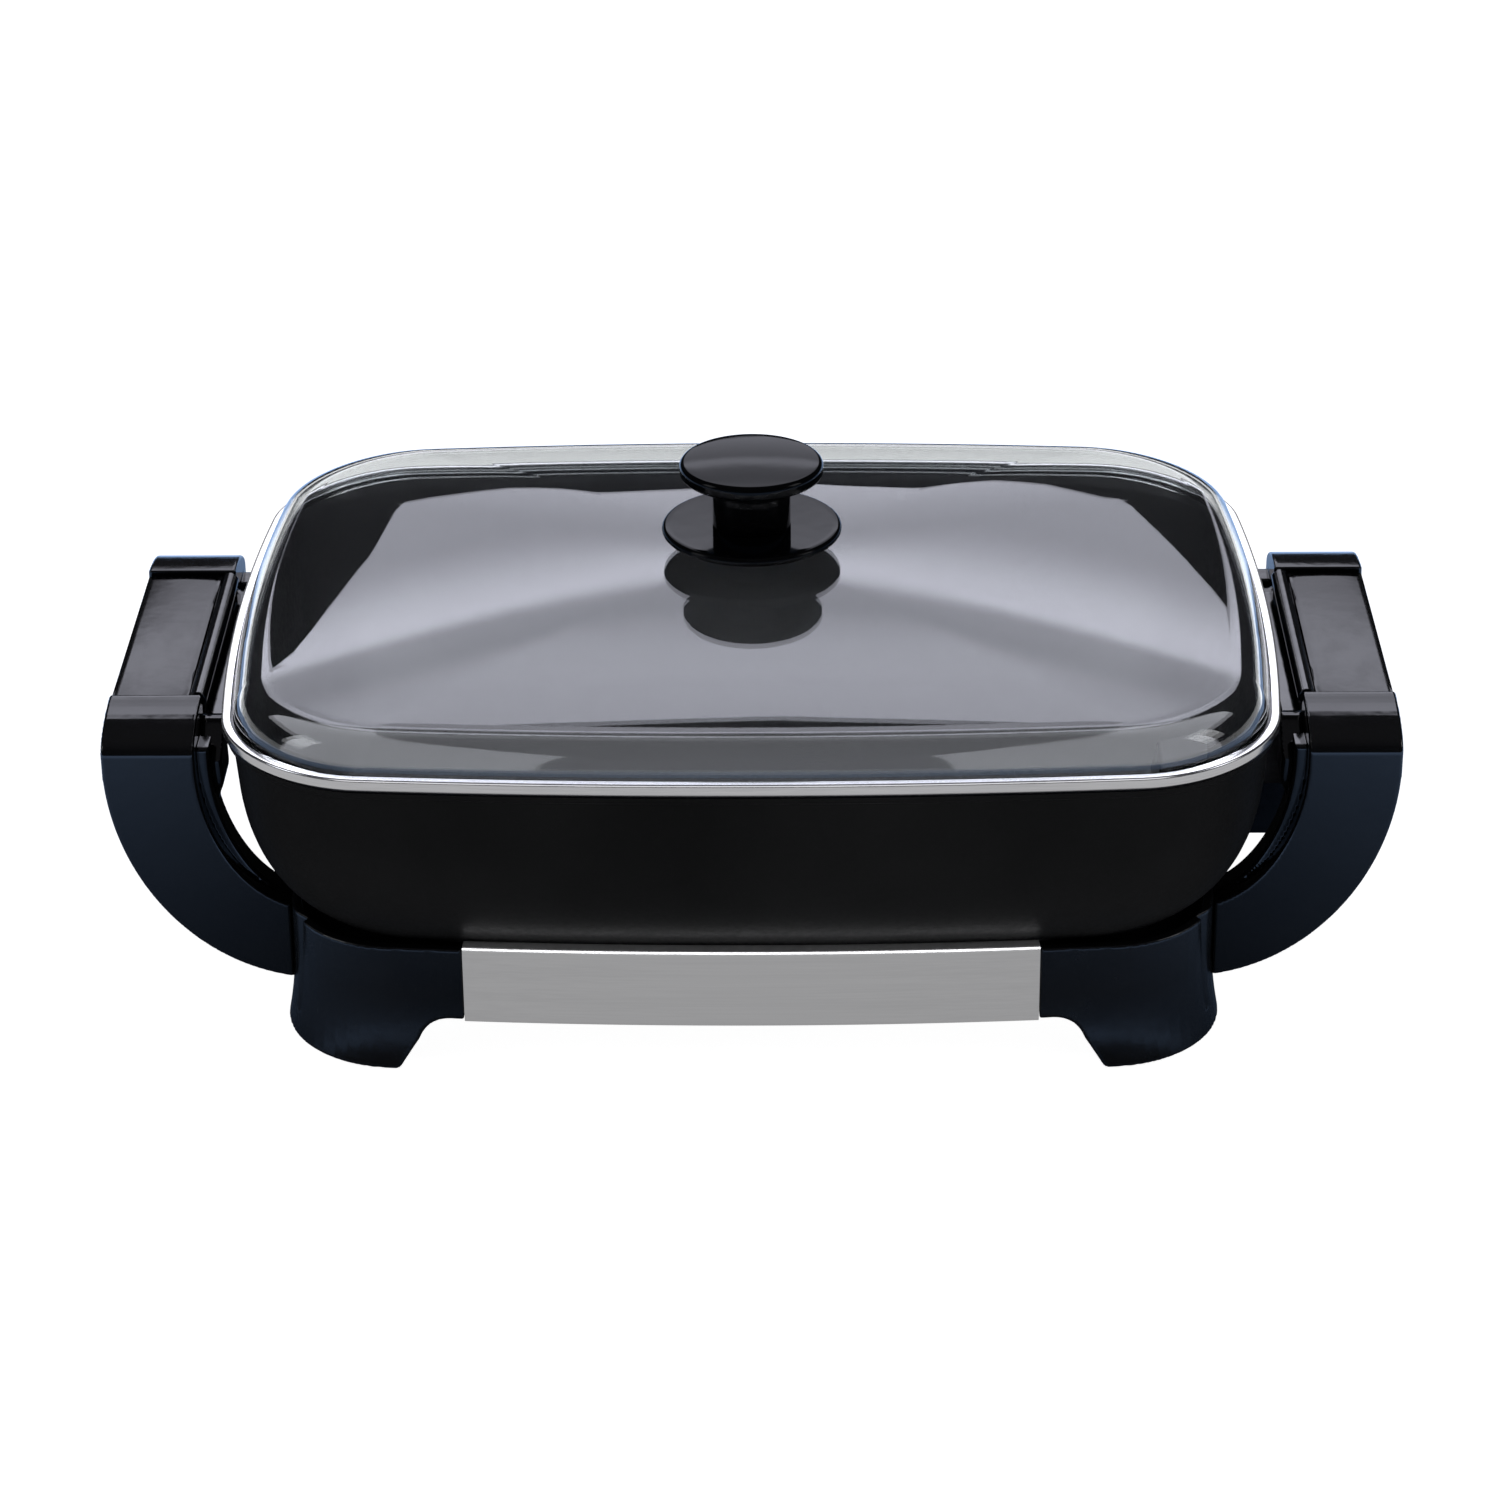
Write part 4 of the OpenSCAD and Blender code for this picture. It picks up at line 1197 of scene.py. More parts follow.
@dataclass
class Pan:
    """The cast pan: rounded foot, non-stick wall, bare turned rim."""

    stand: float = 43.0
    depth: float = 82.0
    wall: float = 2.8
    foot_run: float = 34.0
    foot_rise: float = 60.0
    taper: float = 0.055
    lip_in: float = 1.5
    wall_in: float = 3.5
    boss_places: tuple[float, float] = (130.0, 84.0)

    def foot(self, inward: float, steps: int = 26) -> list[tuple[float, float]]:
        """Inset and height of the rounded foot, from the bottom up.

        Args:
            inward: How far the skin lies inside the outer one.
            steps: The number of spans.

        Returns:
            The insets and heights.
        """
        out = []
        for k in range(steps + 1):
            t = math.pi / 2 * k / steps
            h = self.foot_rise * (1 - math.cos(t))
            edge = self.wall_in + self.taper * (self.depth - h)
            out.append((edge + self.foot_run * (1 - math.sin(t)) + inward * math.sin(t),
                        self.stand + h + inward * math.cos(t)))
        return out

    def build(self, finishes: Finishes) -> None:
        """Makes the pan.

        Args:
            finishes: The finishes.
        """
        top = self.stand + self.depth
        outer = self.foot(0.0)
        ring = self.lip_in
        edge = [(self.wall_in, top - 5.0), (self.wall_in - 0.1, top - 4.6), (ring + 0.5, top - 3.9),
                (ring + 0.1, top - 3.5), (ring, top - 3.1), (ring, top - 1.3)]
        bare = [(ring, top - 1.2), (ring, top - 0.45), (ring + 0.14, top - 0.13),
                (ring + 0.45, top), (self.wall_in + self.wall - 1.3, top)]
        inner = [(self.wall_in + self.wall - 1.2, top), (self.wall_in + self.wall - 0.9, top - 0.1),
                 (self.wall_in + self.wall - 0.7, top - 0.5), (self.wall_in + self.wall, top - 4.5)]
        path = outer + edge + bare + inner + self.foot(self.wall)[::-1]
        low_in, high_in = path[0][0], path[-1][0]
        path = ([(low_in + n, self.stand) for n in (60.0, 30.0, 12.0, 4.0)] + path
                + [(high_in + n, self.stand + self.wall) for n in (4.0, 12.0, 30.0, 60.0)])
        rings = [RIM.ring(inset, height) for inset, height in path]
        points, faces = skin(rings)
        count = len(rings[0])
        first = 4 + len(outer) + len(edge) - 1
        picks = np.zeros(len(faces), int)
        picks[first * count:(first + len(bare)) * count] = 1
        all_points, all_faces = [points], list(faces)
        start = len(points)
        for sx in (-1, 1):
            for sy in (-1, 1):
                x, y = sx * self.boss_places[0], sy * self.boss_places[1]
                foot = self.stand - 10.0
                more, extra = turned([(2.1, foot + 3), (2.1, foot), (6.9, foot), (7.5, foot + 0.6),
                                      (7.5, self.stand - 2.5), (8.3, self.stand - 0.8),
                                      (10.0, self.stand + 0.1), (10.0, self.stand + 1.5)],
                                     (x, y, 0.0), Axis.Z, 40, start)
                all_points.append(more)
                all_faces += extra
                start += len(more)
        picks = np.concatenate([picks, np.zeros(len(all_faces) - len(picks), int)])
        pan = to_object("pan_casting", np.vstack(all_points), all_faces,
                        [finishes.coating, finishes.rim], picks=picks)
        crease(pan, 50.0)
        place(pan, Body.BASE, ["pan"])
        lug = block((162.0, -20.5, 44.0), (187.9, 20.5, 65.0), 1.6)
        for side in (-1, 1):
            lug = lug.cut(self._bore(side * 12.0, 57.5, 4.45), 0.5)
        lug = lug.cut(self._bore(0.0, 49.5, 3.45), 0.5)
        points, quads, normals = carve(lug, (162.0, -20.5, 44.0), (188.0, 20.5, 65.0), 0.9)
        piece = to_object("pan_lug", points, quads, [finishes.coating], normals, recalculate=False)
        place(piece, Body.BASE, [])

    @staticmethod
    def _bore(y0: float, z0: float, radius: float) -> Solid:
        """A bore along X in the outer face of the lug.

        Args:
            y0: Its centre along Y.
            z0: Its centre along Z.
            radius: Its radius.

        Returns:
            The bore.
        """
        return Solid(lambda x, y, z: np.maximum(np.hypot(y - y0, z - z0) - radius, 181.0 - x))


@dataclass
class Lid:
    """The domed glass lid, its steel band, and the knob."""

    edge_z: float = 126.0
    lip_z: float = 128.8
    wall_rise: float = 15.0
    wall_run: float = 12.0
    dome_rise: float = 13.0
    glass: float = 2.8
    hole: float = 4.3
    band_low: float = 125.3
    band_high: float = 129.7

    def skin_rings(self, inward: float) -> list[Array]:
        """Rings of one face of the glass, from the lip up to the hole.

        Args:
            inward: How far the face lies under the outer one.

        Returns:
            The rings.
        """
        rings = []
        for k in range(25):
            t = math.pi / 2 * k / 24
            rings.append(RIM.ring(4.0 + self.wall_run * (1 - math.cos(t)) + inward * math.cos(t),
                                  self.lip_z + self.wall_rise * math.sin(t) - inward * math.sin(t)))
        shoulder = RIM.ring(4.0 + self.wall_run)
        base = self.lip_z + self.wall_rise
        angle = np.arctan2(shoulder[:, 1], shoulder[:, 0])
        for s in (0.985, 0.96, 0.92, 0.87, 0.8, 0.72, 0.63, 0.54, 0.45, 0.36, 0.27, 0.19, 0.12,
                  0.07, 0.04):
            ring = shoulder * s
            ring[:, 2] = base + self.dome_rise * (1 - s * s) - inward
            radius = np.hypot(ring[:, 0], ring[:, 1]).mean()
            share = min(1.0, max(0.0, (0.4 - s) / 0.3))
            ring[:, 0] += (radius * np.cos(angle) - ring[:, 0]) * share
            ring[:, 1] += (radius * np.sin(angle) - ring[:, 1]) * share
            rings.append(ring)
        top = base + self.dome_rise - inward
        rings.append(np.column_stack([self.hole * np.cos(angle), self.hole * np.sin(angle),
                                      np.full(len(angle), top)]))
        return rings

    def build_glass(self, finishes: Finishes) -> None:
        """Makes the glass.

        Args:
            finishes: The finishes.
        """
        rings = [RIM.ring(1.35, self.edge_z), RIM.ring(1.05, self.edge_z + 0.3),
                 RIM.ring(1.0, self.lip_z - 0.4), RIM.ring(1.3, self.lip_z - 0.05)]
        rings += self.skin_rings(0.0)
        rings += self.skin_rings(self.glass)[::-1]
        rings.append(RIM.ring(4.0 + self.glass + 0.2, self.edge_z))
        points, faces = skin(rings, closed=True)
        glass = to_object("lid_dome", points, faces, [finishes.glass])
        crease(glass, 60.0)
        place(glass, Body.LID, ["lid_glass"])

    def build_band(self, sweeper: SectionSweep, finishes: Finishes) -> None:
        """Sweeps the folded band round the edge of the glass.

        Args:
            sweeper: The sweep tree.
            finishes: The finishes.
        """
        low, high, sheet = self.band_low, self.band_high, 0.7
        outer = filleted([(-5.4, low), (0.0, low), (0.0, high), (-3.4, high),
                          (-3.4, high - sheet), (-sheet, high - sheet), (-sheet, low + sheet),
                          (-5.4, low + sheet)],
                         [0.25, 1.15, 1.15, 0.3, 0.25, 0.4, 0.4, 0.25], 5)
        path = RIM.ring(0.0)
        band = sweeper.sweep("lid_band_steel", path, True, outer, finishes.band)
        place(band, Body.LID, ["lid_band"])

    def build_knob(self, finishes: Finishes) -> None:
        """Turns the knob's two discs.

        Args:
            finishes: The finishes.
        """
        foot, top = 157.4, 167.2
        low = top - 3.6
        skirt = ([(3.0, foot), (12.6, foot), (13.2, foot + 0.5), (14.0, foot + 3.0)]
                 + arc((18.6, foot + 3.0), 4.6, 180.0, 98.0, 8)[1:]
                 + [(24.0, low - 0.5), (31.0, low - 0.1)]
                 + arc((32.7, low + 1.8), 1.8, -90.0, 90.0, 14)
                 + [(31.0, top), (24.0, top), (3.0, top)])
        points, faces = turned([*skirt, (3.0, foot)], segments=144)
        piece = to_object("knob_lower_disc", points, faces, [finishes.knob])
        crease(piece, 50.0)
        place(piece, Body.LID, ["knob_skirt"])
        under, edge = 187.2, 193.2
        knob = ([(0.0, under - 3.0), (2.5, under - 3.0), (2.5, top), (14.6, top), (15.0, top + 0.4),
                 (15.0, under - 6.5)]
                + arc((21.5, under - 6.5), 6.5, 180.0, 90.0, 12)[1:]
                + arc((25.4, under + 2.1), 2.1, -90.0, 0.0, 8)
                + arc((25.2, edge - 2.3), 2.3, 0.0, 84.0, 10)
                + [(25.4 * (1 - k / 10), edge + 1.5 * (1 - (1 - k / 10) ** 2))
                   for k in range(1, 10)] + [(0.0, edge + 1.5)])
        points, faces = turned(knob, segments=144)
        piece = to_object("knob_upper_disc", points, faces, [finishes.knob])
        crease(piece, 50.0)
        place(piece, Body.LID, ["knob"])

    def build(self, sweeper: SectionSweep, finishes: Finishes) -> None:
        """Makes the whole lid.

        Args:
            sweeper: The sweep tree.
            finishes: The finishes.
        """
        self.build_glass(finishes)
        self.build_band(sweeper, finishes)
        self.build_knob(finishes)


@dataclass
class Handle:
    """A hooped handle: two arms, a grip channel with a rib, and a polished panel."""

    out: float = 242.5
    near: float = 207.5
    half_y: float = 87.0
    top: float = 122.0
    arm_d: float = 19.0
    back: float = 56.0
    fall: float = 11.0
    root: tuple[float, float] = (165.0, 106.0)
    outer_radii: tuple[float, float] = (77.5, 90.0)
    inner_radii: tuple[float, float] = (42.5, 59.5)
    web: float = 4.5
    face_depth: float = 7.0
    panel_near: float = 213.2
    panel_out: float = 242.2
    rib_radius: float = 3.4
    step: float = 1.0

    def arm_outline(self, web: float) -> list[tuple[float, float]]:
        """The arm from the front, in X and Z.

        Args:
            web: How much wider it is on the rim side.

        Returns:
            The outline.
        """
        def sweep(rx: float, rz: float) -> list[tuple[float, float]]:
            """One edge of the arm, from its foot up.

            Args:
                rx: Its radius across.
                rz: Its radius upward.

            Returns:
                Its points.
            """
            t0 = -math.acos((175.0 - self.root[0]) / rx)
            return [(self.root[0] + rx * math.cos(t0 * (1 - k / 40)),
                     self.root[1] + rz * math.sin(t0 * (1 - k / 40))) for k in range(41)]
        rise = self.top - self.fall
        return sweep(*self.outer_radii) + [(self.out, rise), (self.near - web, rise)] \
            + sweep(self.inner_radii[0] - web, self.inner_radii[1])[::-1]

    def block_outline(self) -> list[tuple[float, float]]:
        """The block on top of an arm from the side, in Y and Z.

        Returns:
            The outline.
        """
        run, length = self.half_y - self.arm_d - self.back, self.half_y - self.back
        cove = [(self.back + run - run * math.sin(math.radians(t)),
                 108.0 - 8.0 * math.cos(math.radians(t))) for t in range(0, 91, 9)]
        crown = [(self.back + length * math.cos(math.radians(t)),
                  self.top - self.fall + self.fall * math.sin(math.radians(t)))
                 for t in (86, 82, 78, 73, 68, 62, 56, 50, 44, 38, 32, 26, 20, 15, 10, 5, 0)]
        return [(self.back, 108.0), (self.back, self.top - 0.8), (self.back + 0.2, self.top - 0.25),
                (self.back + 0.8, self.top)] + crown \
            + [(self.half_y, 100.0), (self.half_y - self.arm_d, 100.0)] + cove[1:]

    def grip_outline(self) -> list[tuple[float, float]]:
        """The grip channel from the front, in X and Z.

        Returns:
            The outline.
        """
        near, out = self.near, self.panel_out
        corners = [(out, 118.4), (out, 99.0), (out - 1.5, 96.0), (out - 3.0, 97.0),
                   (out - 3.0, 115.4), (near + 7.0, 115.4), (near + 4.0, 112.4), (near + 4.0, 98.0),
                   (near + 2.5, 96.0), (near + 1.0, 98.0), (near + 1.0, 109.1), (199.4, 109.1),
                   (199.4, 112.5), (near + 2.5, 112.5), (near + 2.5, 118.4)]
        return filleted(corners, [0.3, 1.5, 1.2, 1.2, 2.0, 2.0, 2.0, 1.2, 1.2, 1.2, 2.0, 1.2, 1.2,
                                  1.2, 0.8], 5)

    def solid(self) -> Solid:
        """The right-hand handle, front half and back half alike.

        Returns:
            The solid.
        """
        low, high = self.half_y - self.arm_d, self.half_y
        arm = prism(self.arm_outline(0.0), Axis.Y, low, high, 1.2)
        arm = arm | prism(self.arm_outline(self.web), Axis.Y, low, high - self.face_depth, 1.6)
        head = prism(self.block_outline(), Axis.X, self.near, self.out, 1.1)
        far = self.near + 2.0
        apron = prism([(far, 112.5), (200.2, 112.5), (199.4, 111.7), (198.9, 95.0)]
                      + [(far + 10.6 * math.cos(math.radians(t)),
                          94.5 + 10.0 * math.sin(math.radians(t))) for t in range(186, 271, 7)],
                      Axis.Y, 54.0, 74.0, 1.6)
        slope = Solid(lambda x, y, z: (z - 112.5 + 0.55 * (y - self.back)) * 0.87)
        grip = prism(self.grip_outline(), Axis.Y, -58.0, 58.0, 0.4)
        rib_x = self.panel_near - 0.3 - self.rib_radius
        rib_z = self.top - self.rib_radius
        rib = Solid(lambda x, y, z: np.maximum(np.hypot(x - rib_x, z - rib_z) - self.rib_radius,
                                               np.abs(y) - 54.6))
        channel = grip.melt(rib, 0.8)
        ends = (arm | head).melt(apron & slope, 2.2)

        def distance(x: Array, y: Array, z: Array) -> Array:
            """Distance to the whole handle, folded about its middle.

            Args:
                x: Coordinates along X.
                y: Coordinates along Y.
                z: Coordinates along Z.

            Returns:
                The distances.
            """
            folded = np.abs(y)
            a, b = ends.distance(x, folded, z), channel.distance(x, folded, z)
            h = np.maximum(1.4 - np.abs(a - b), 0.0) / 1.4
            return np.minimum(a, b) - h * h * 0.35
        return Solid(distance) & block((150.0, -self.half_y, 0.0), (self.out, self.half_y, self.top))

    def panel(self) -> tuple[Array, list[tuple[int, ...]]]:
        """The crowned panel let into the right-hand grip.

        Returns:
            Its points and faces.
        """
        left, right, low, high, half = (self.panel_near, self.panel_out, 118.45, 120.4,
                                        self.back - 0.35)
        rings = []
        ends = [(-half, 0.5, 3.0), (-half + 0.12, 0.2, 2.3), (-half + 0.5, 0.06, 1.5),
                (-half + 1.4, 0.0, 0.7), (-half + 3.0, 0.0, 0.0)]
        ends += [(-half + 3.0 + (2 * half - 6.0) * k / 16, 0.0, 0.0) for k in range(1, 16)]
        ends += [(-y, drop, inset) for y, drop, inset in ends[4::-1]]
        for end, drop, inset in ends:
            x0 = left + inset
            bow = -0.45 * (end / half) ** 2
            ring = [(x0 + 0.15, low), (right - 0.15, low), (right, low + 0.2), (right, high - 0.95)]
            for k in range(25):
                u = k / 24
                edge = max(0.0, 1 - min(u, 1 - u) / 0.03)
                ring.append((right - 0.12 - u * (right - x0 - 0.24),
                             high - 0.3 + bow + 1.2 * u * (1 - u) - 0.3 * edge * edge))
            ring += [(x0, high - 0.95), (x0, low + 0.2)]
            rings.append(np.array([(x, end, z - (drop if z > low + 0.5 else 0.0)) for x, z in ring]))
        return skin(rings)

    def build(self, finishes: Finishes) -> None:
        """Makes both handles and their panels.

        Args:
            finishes: The finishes.
        """
        points, quads, normals = carve(self.solid(), (174.0, -self.half_y, 14.0),
                                       (self.out, self.half_y, self.top), self.step)
        plate, plate_faces = self.panel()
        for name, flip in (("left", True), ("right", False)):
            p, q, n = mirrored(points, quads, normals, flip, False)
            piece = to_object("handle_hoop_" + name, p, q, [finishes.phenolic], n, recalculate=False)
            place(piece, Body.BASE, ["handle_" + name])
            sign = np.array([-1.0 if flip else 1.0, 1.0, 1.0])
            piece = to_object("grip_plate_" + name, plate * sign, plate_faces, [finishes.panel])
            crease(piece, 45.0)
            place(piece, Body.BASE, ["grip_panel_" + name])


@dataclass
class Legs:
    """Four corner legs with an arch between the feet and a groove beside the arms."""

    height: float = 49.6
    wall: float = 4.0
    strip_end: float = 107.4
    back: float = 58.0
    flare: float = 3.2
    step: float = 1.0

    def solid(self) -> Solid:
        """The rear right leg.

        Returns:
            The solid.
        """
        ring = [tuple(p[:2]) for p in BASE.ring(0.0)]

        def shell(x: Array, y: Array, z: Array) -> Array:
            """Distance to the flared wall.

            Args:
                x: Coordinates along X.
                y: Coordinates along Y.
                z: Coordinates along Z.

            Returns:
                The distances.
            """
            lift = np.clip(1.0 - z / 30.0, 0.0, 1.0) ** 2
            side = outline_distance(x, y - 3.4 * lift, ring) - self.flare * lift
            wall = np.abs(side + self.wall / 2) - self.wall / 2 + 1.0
            top = np.abs(z - (self.height + 0.8) / 2) - (self.height - 0.8) / 2 + 1.0
            out = np.hypot(np.maximum(wall, 0.0), np.maximum(top, 0.0))
            return np.minimum(np.maximum(wall, top), 0.0) + out - 1.0

        def within(inset: float, low: float, high: float) -> Solid:
            """A level slab inside the outline.

            Args:
                inset: How far it is pulled in.
                low: Its underside.
                high: Its top.

            Returns:
                The slab.
            """
            return Solid(lambda x, y, z: np.maximum(outline_distance(x, y, ring) + inset,
                                                    np.abs(z - (low + high) / 2) - (high - low) / 2))
        arch = [(0.0, -3.0), (132.1, -3.0), (132.1, 0.8)] \
            + [(113.6 + 12.0 * (math.cos(math.radians(t)) - 0.05),
                8.0 + 12.0 * math.sin(math.radians(t))) for t in range(20, 91, 5)] + [(0.0, 20.0)]
        body = Solid(shell) & block((self.strip_end, self.back, 0.0), (190.0, 140.0, 60.0), 0.0)
        deck = (within(1.0, 39.7, 42.7).cut(within(22.0, 0.0, 60.0), 0.2)
                & block((self.strip_end, self.back + 0.2, 0.0), (175.0, 130.0, 60.0)))
        sole = within(1.0, 0.8, 4.8) & block((137.0, 83.5, 0.0), (175.0, 130.0, 60.0))
        shelf = within(1.0, 25.0, 31.0) & block((120.0, 95.0, 0.0), (140.0, 130.0, 60.0))
        leg = body.melt(deck, 0.8).melt(sole, 1.2).melt(shelf, 0.8)
        leg = leg.cut(prism(arch, Axis.Y, 80.0, 145.0, 0.0), 1.4)
        leg = leg.cut(rod(150.0, 96.5, 9.05, -5.0, 2.3), 0.4)

        def notch(x: Array, y: Array, z: Array) -> Array:
            """Distance to the groove beside the arm.

            Args:
                x: Coordinates along X.
                y: Coordinates along Y.
                z: Coordinates along Z.

            Returns:
                The distances.
            """
            u = x - (178.2 - 0.105 * (z - 9.8))
            return np.maximum((np.abs(u) + np.abs(y - 99.57) - 7.07) / 1.414, 9.8 - z)
        return leg.cut(Solid(notch), 1.2) & block((100.0, self.back, 0.8), (190.0, 140.0, 60.0))

    def build(self, finishes: Finishes) -> None:
        """Makes the four legs.

        Args:
            finishes: The finishes.
        """
        points, quads, normals = carve(self.solid(), (self.strip_end, self.back, 0.8),
                                       (178.5, 135.0, self.height), self.step)
        for depth, flip_y in (("front", True), ("rear", False)):
            for side, flip_x in (("left", True), ("right", False)):
                p, q, n = mirrored(points, quads, normals, flip_x, flip_y)
                piece = to_object(f"leg_{depth}_{side}_moulding", p, q, [finishes.leg], n,
                                  recalculate=False)
                place(piece, Body.BASE, [f"leg_{depth}_{side}"])


@dataclass
class Strips:
    """Brushed steel strips between the legs, folded along top and bottom."""

    half: float = 107.2
    low: float = 19.0
    high: float = 51.0
    sheet: float = 1.0
    fold: float = 5.5
    proud: float = 0.8

    def build(self, sweeper: SectionSweep, finishes: Finishes) -> None:
        """Sweeps both strips.

        Args:
            sweeper: The sweep tree.
            finishes: The finishes.
        """
        low, high, t, fold = self.low, self.high, self.sheet, self.fold
        section = filleted([(0.0, low), (0.0, high), (-fold, high), (-fold, high - t),
                            (-t, high - t), (-t, low + t), (-fold, low + t), (-fold, low)],
                           [1.8, 1.8, 0.2, 0.2, 0.8, 0.8, 0.2, 0.2], 6)
        xs = np.linspace(-self.half, self.half, 49)
        for name, sign in (("front", -1.0), ("rear", 1.0)):
            ys = sign * (BASE.half_y + self.proud
                         - BASE.bow_y * (xs / (BASE.half_x + self.proud)) ** 2)
            path = np.column_stack([-sign * xs, ys, np.zeros(len(xs))])
            piece = sweeper.sweep(f"strip_{name}_steel", path, False, section, finishes.strip)
            tabs = self._tabs(sign)
            mesh = piece.data
            shell = bmesh.new()
            shell.from_mesh(mesh)
            for low_corner, high_corner in tabs:
                made = bmesh.ops.create_cube(shell, size=1.0)
                for vert in made["verts"]:
                    for n in range(3):
                        a, b = low_corner[n], high_corner[n]
                        vert.co[n] = (a if vert.co[n] < 0 else b) * MM
            bmesh.ops.recalc_face_normals(shell, faces=shell.faces)
            shell.to_mesh(mesh)
            shell.free()
            place(piece, Body.BASE, [f"strip_{name}"])

    def _tabs(self, sign: float) -> list[tuple[Colour, Colour]]:
        """The screw tabs behind the legs.

        Args:
            sign: -1 for the front strip, 1 for the rear one.

        Returns:
            The lowest and highest corner of each tab.
        """
        y = 128.5 - self.sheet - 3.1 - 10.0 * ((self.half + 12.0) / 171.0) ** 2
        out = []
        for side in (-1.0, 1.0):
            for x0, x1, y0, y1 in ((self.half - 1.0, self.half - 0.05, y - 1.0, y + 4.6),
                                   (self.half - 1.0, self.half + 12.0, y - 1.0, y)):
                xs, ys = sorted((side * x0, side * x1)), sorted((sign * y0, sign * y1))
                out.append(((xs[0], ys[0], 21.0), (xs[1], ys[1], 39.0)))
        return out


class CadShape:
    """Reads places from the frame's own nodes."""

    @staticmethod
    def merged(node: str) -> bmesh.types.BMesh:
        """Copies a node's mesh and merges its doubled points.

        Args:
            node: The node.

        Returns:
            The copy, to be freed after use.
        """
        shell = bmesh.new()
        shell.from_mesh(frame["nodes"][node].data)
        bmesh.ops.remove_doubles(shell, verts=shell.verts, dist=1e-6)
        return shell

    @staticmethod
    def islands(node: str) -> list[Array]:
        """Splits a node's mesh into its separate solids.

        Args:
            node: The node.

        Returns:
            The points of each solid, in millimetres.
        """
        shell = CadShape.merged(node)
        shell.verts.ensure_lookup_table()
        seen: set[int] = set()
        out = []
        for vert in shell.verts:
            if vert.index in seen:
                continue
            stack, found = [vert], []
            seen.add(vert.index)
            while stack:
                here = stack.pop()
                found.append(tuple(here.co))
                for edge in here.link_edges:
                    other = edge.other_vert(here)
                    if other.index not in seen:
                        seen.add(other.index)
                        stack.append(other)
            out.append(np.array(found) / MM)
        shell.free()
        return out

    @staticmethod
    def eased(name: str, node: str, width: float, material: bpy.types.Material,
              body: Body, slot: str) -> bpy.types.Object:
        """Copies a node with its edges rounded, and stands for it.

        Args:
            name: The piece's name.
            node: The node.
            width: The rounding of its edges, in millimetres.
            material: The finish.
            body: The body that it rides on.
            slot: Not used.

        Returns:
            The piece.
        """
        mesh = bpy.data.meshes.new(name)
        shell = CadShape.merged(node)
        bmesh.ops.dissolve_limit(shell, angle_limit=math.radians(1.0), verts=shell.verts,
                                 edges=shell.edges)
        shell.to_mesh(mesh)
        shell.free()
        mesh.materials.clear()
        mesh.materials.append(material)
        piece = bpy.data.objects.new(name, mesh)
        bpy.context.scene.collection.objects.link(piece)
        bevel = piece.modifiers.new("Eased edges", "BEVEL")
        bevel.width, bevel.segments = width * MM, 3
        bevel.limit_method, bevel.angle_limit = "ANGLE", math.radians(32.0)
        bevel.harden_normals = True
        mesh.polygons.foreach_set("use_smooth", np.ones(len(mesh.polygons), bool))
        crease(piece, 32.0)
        place(piece, body, [node])
        return piece


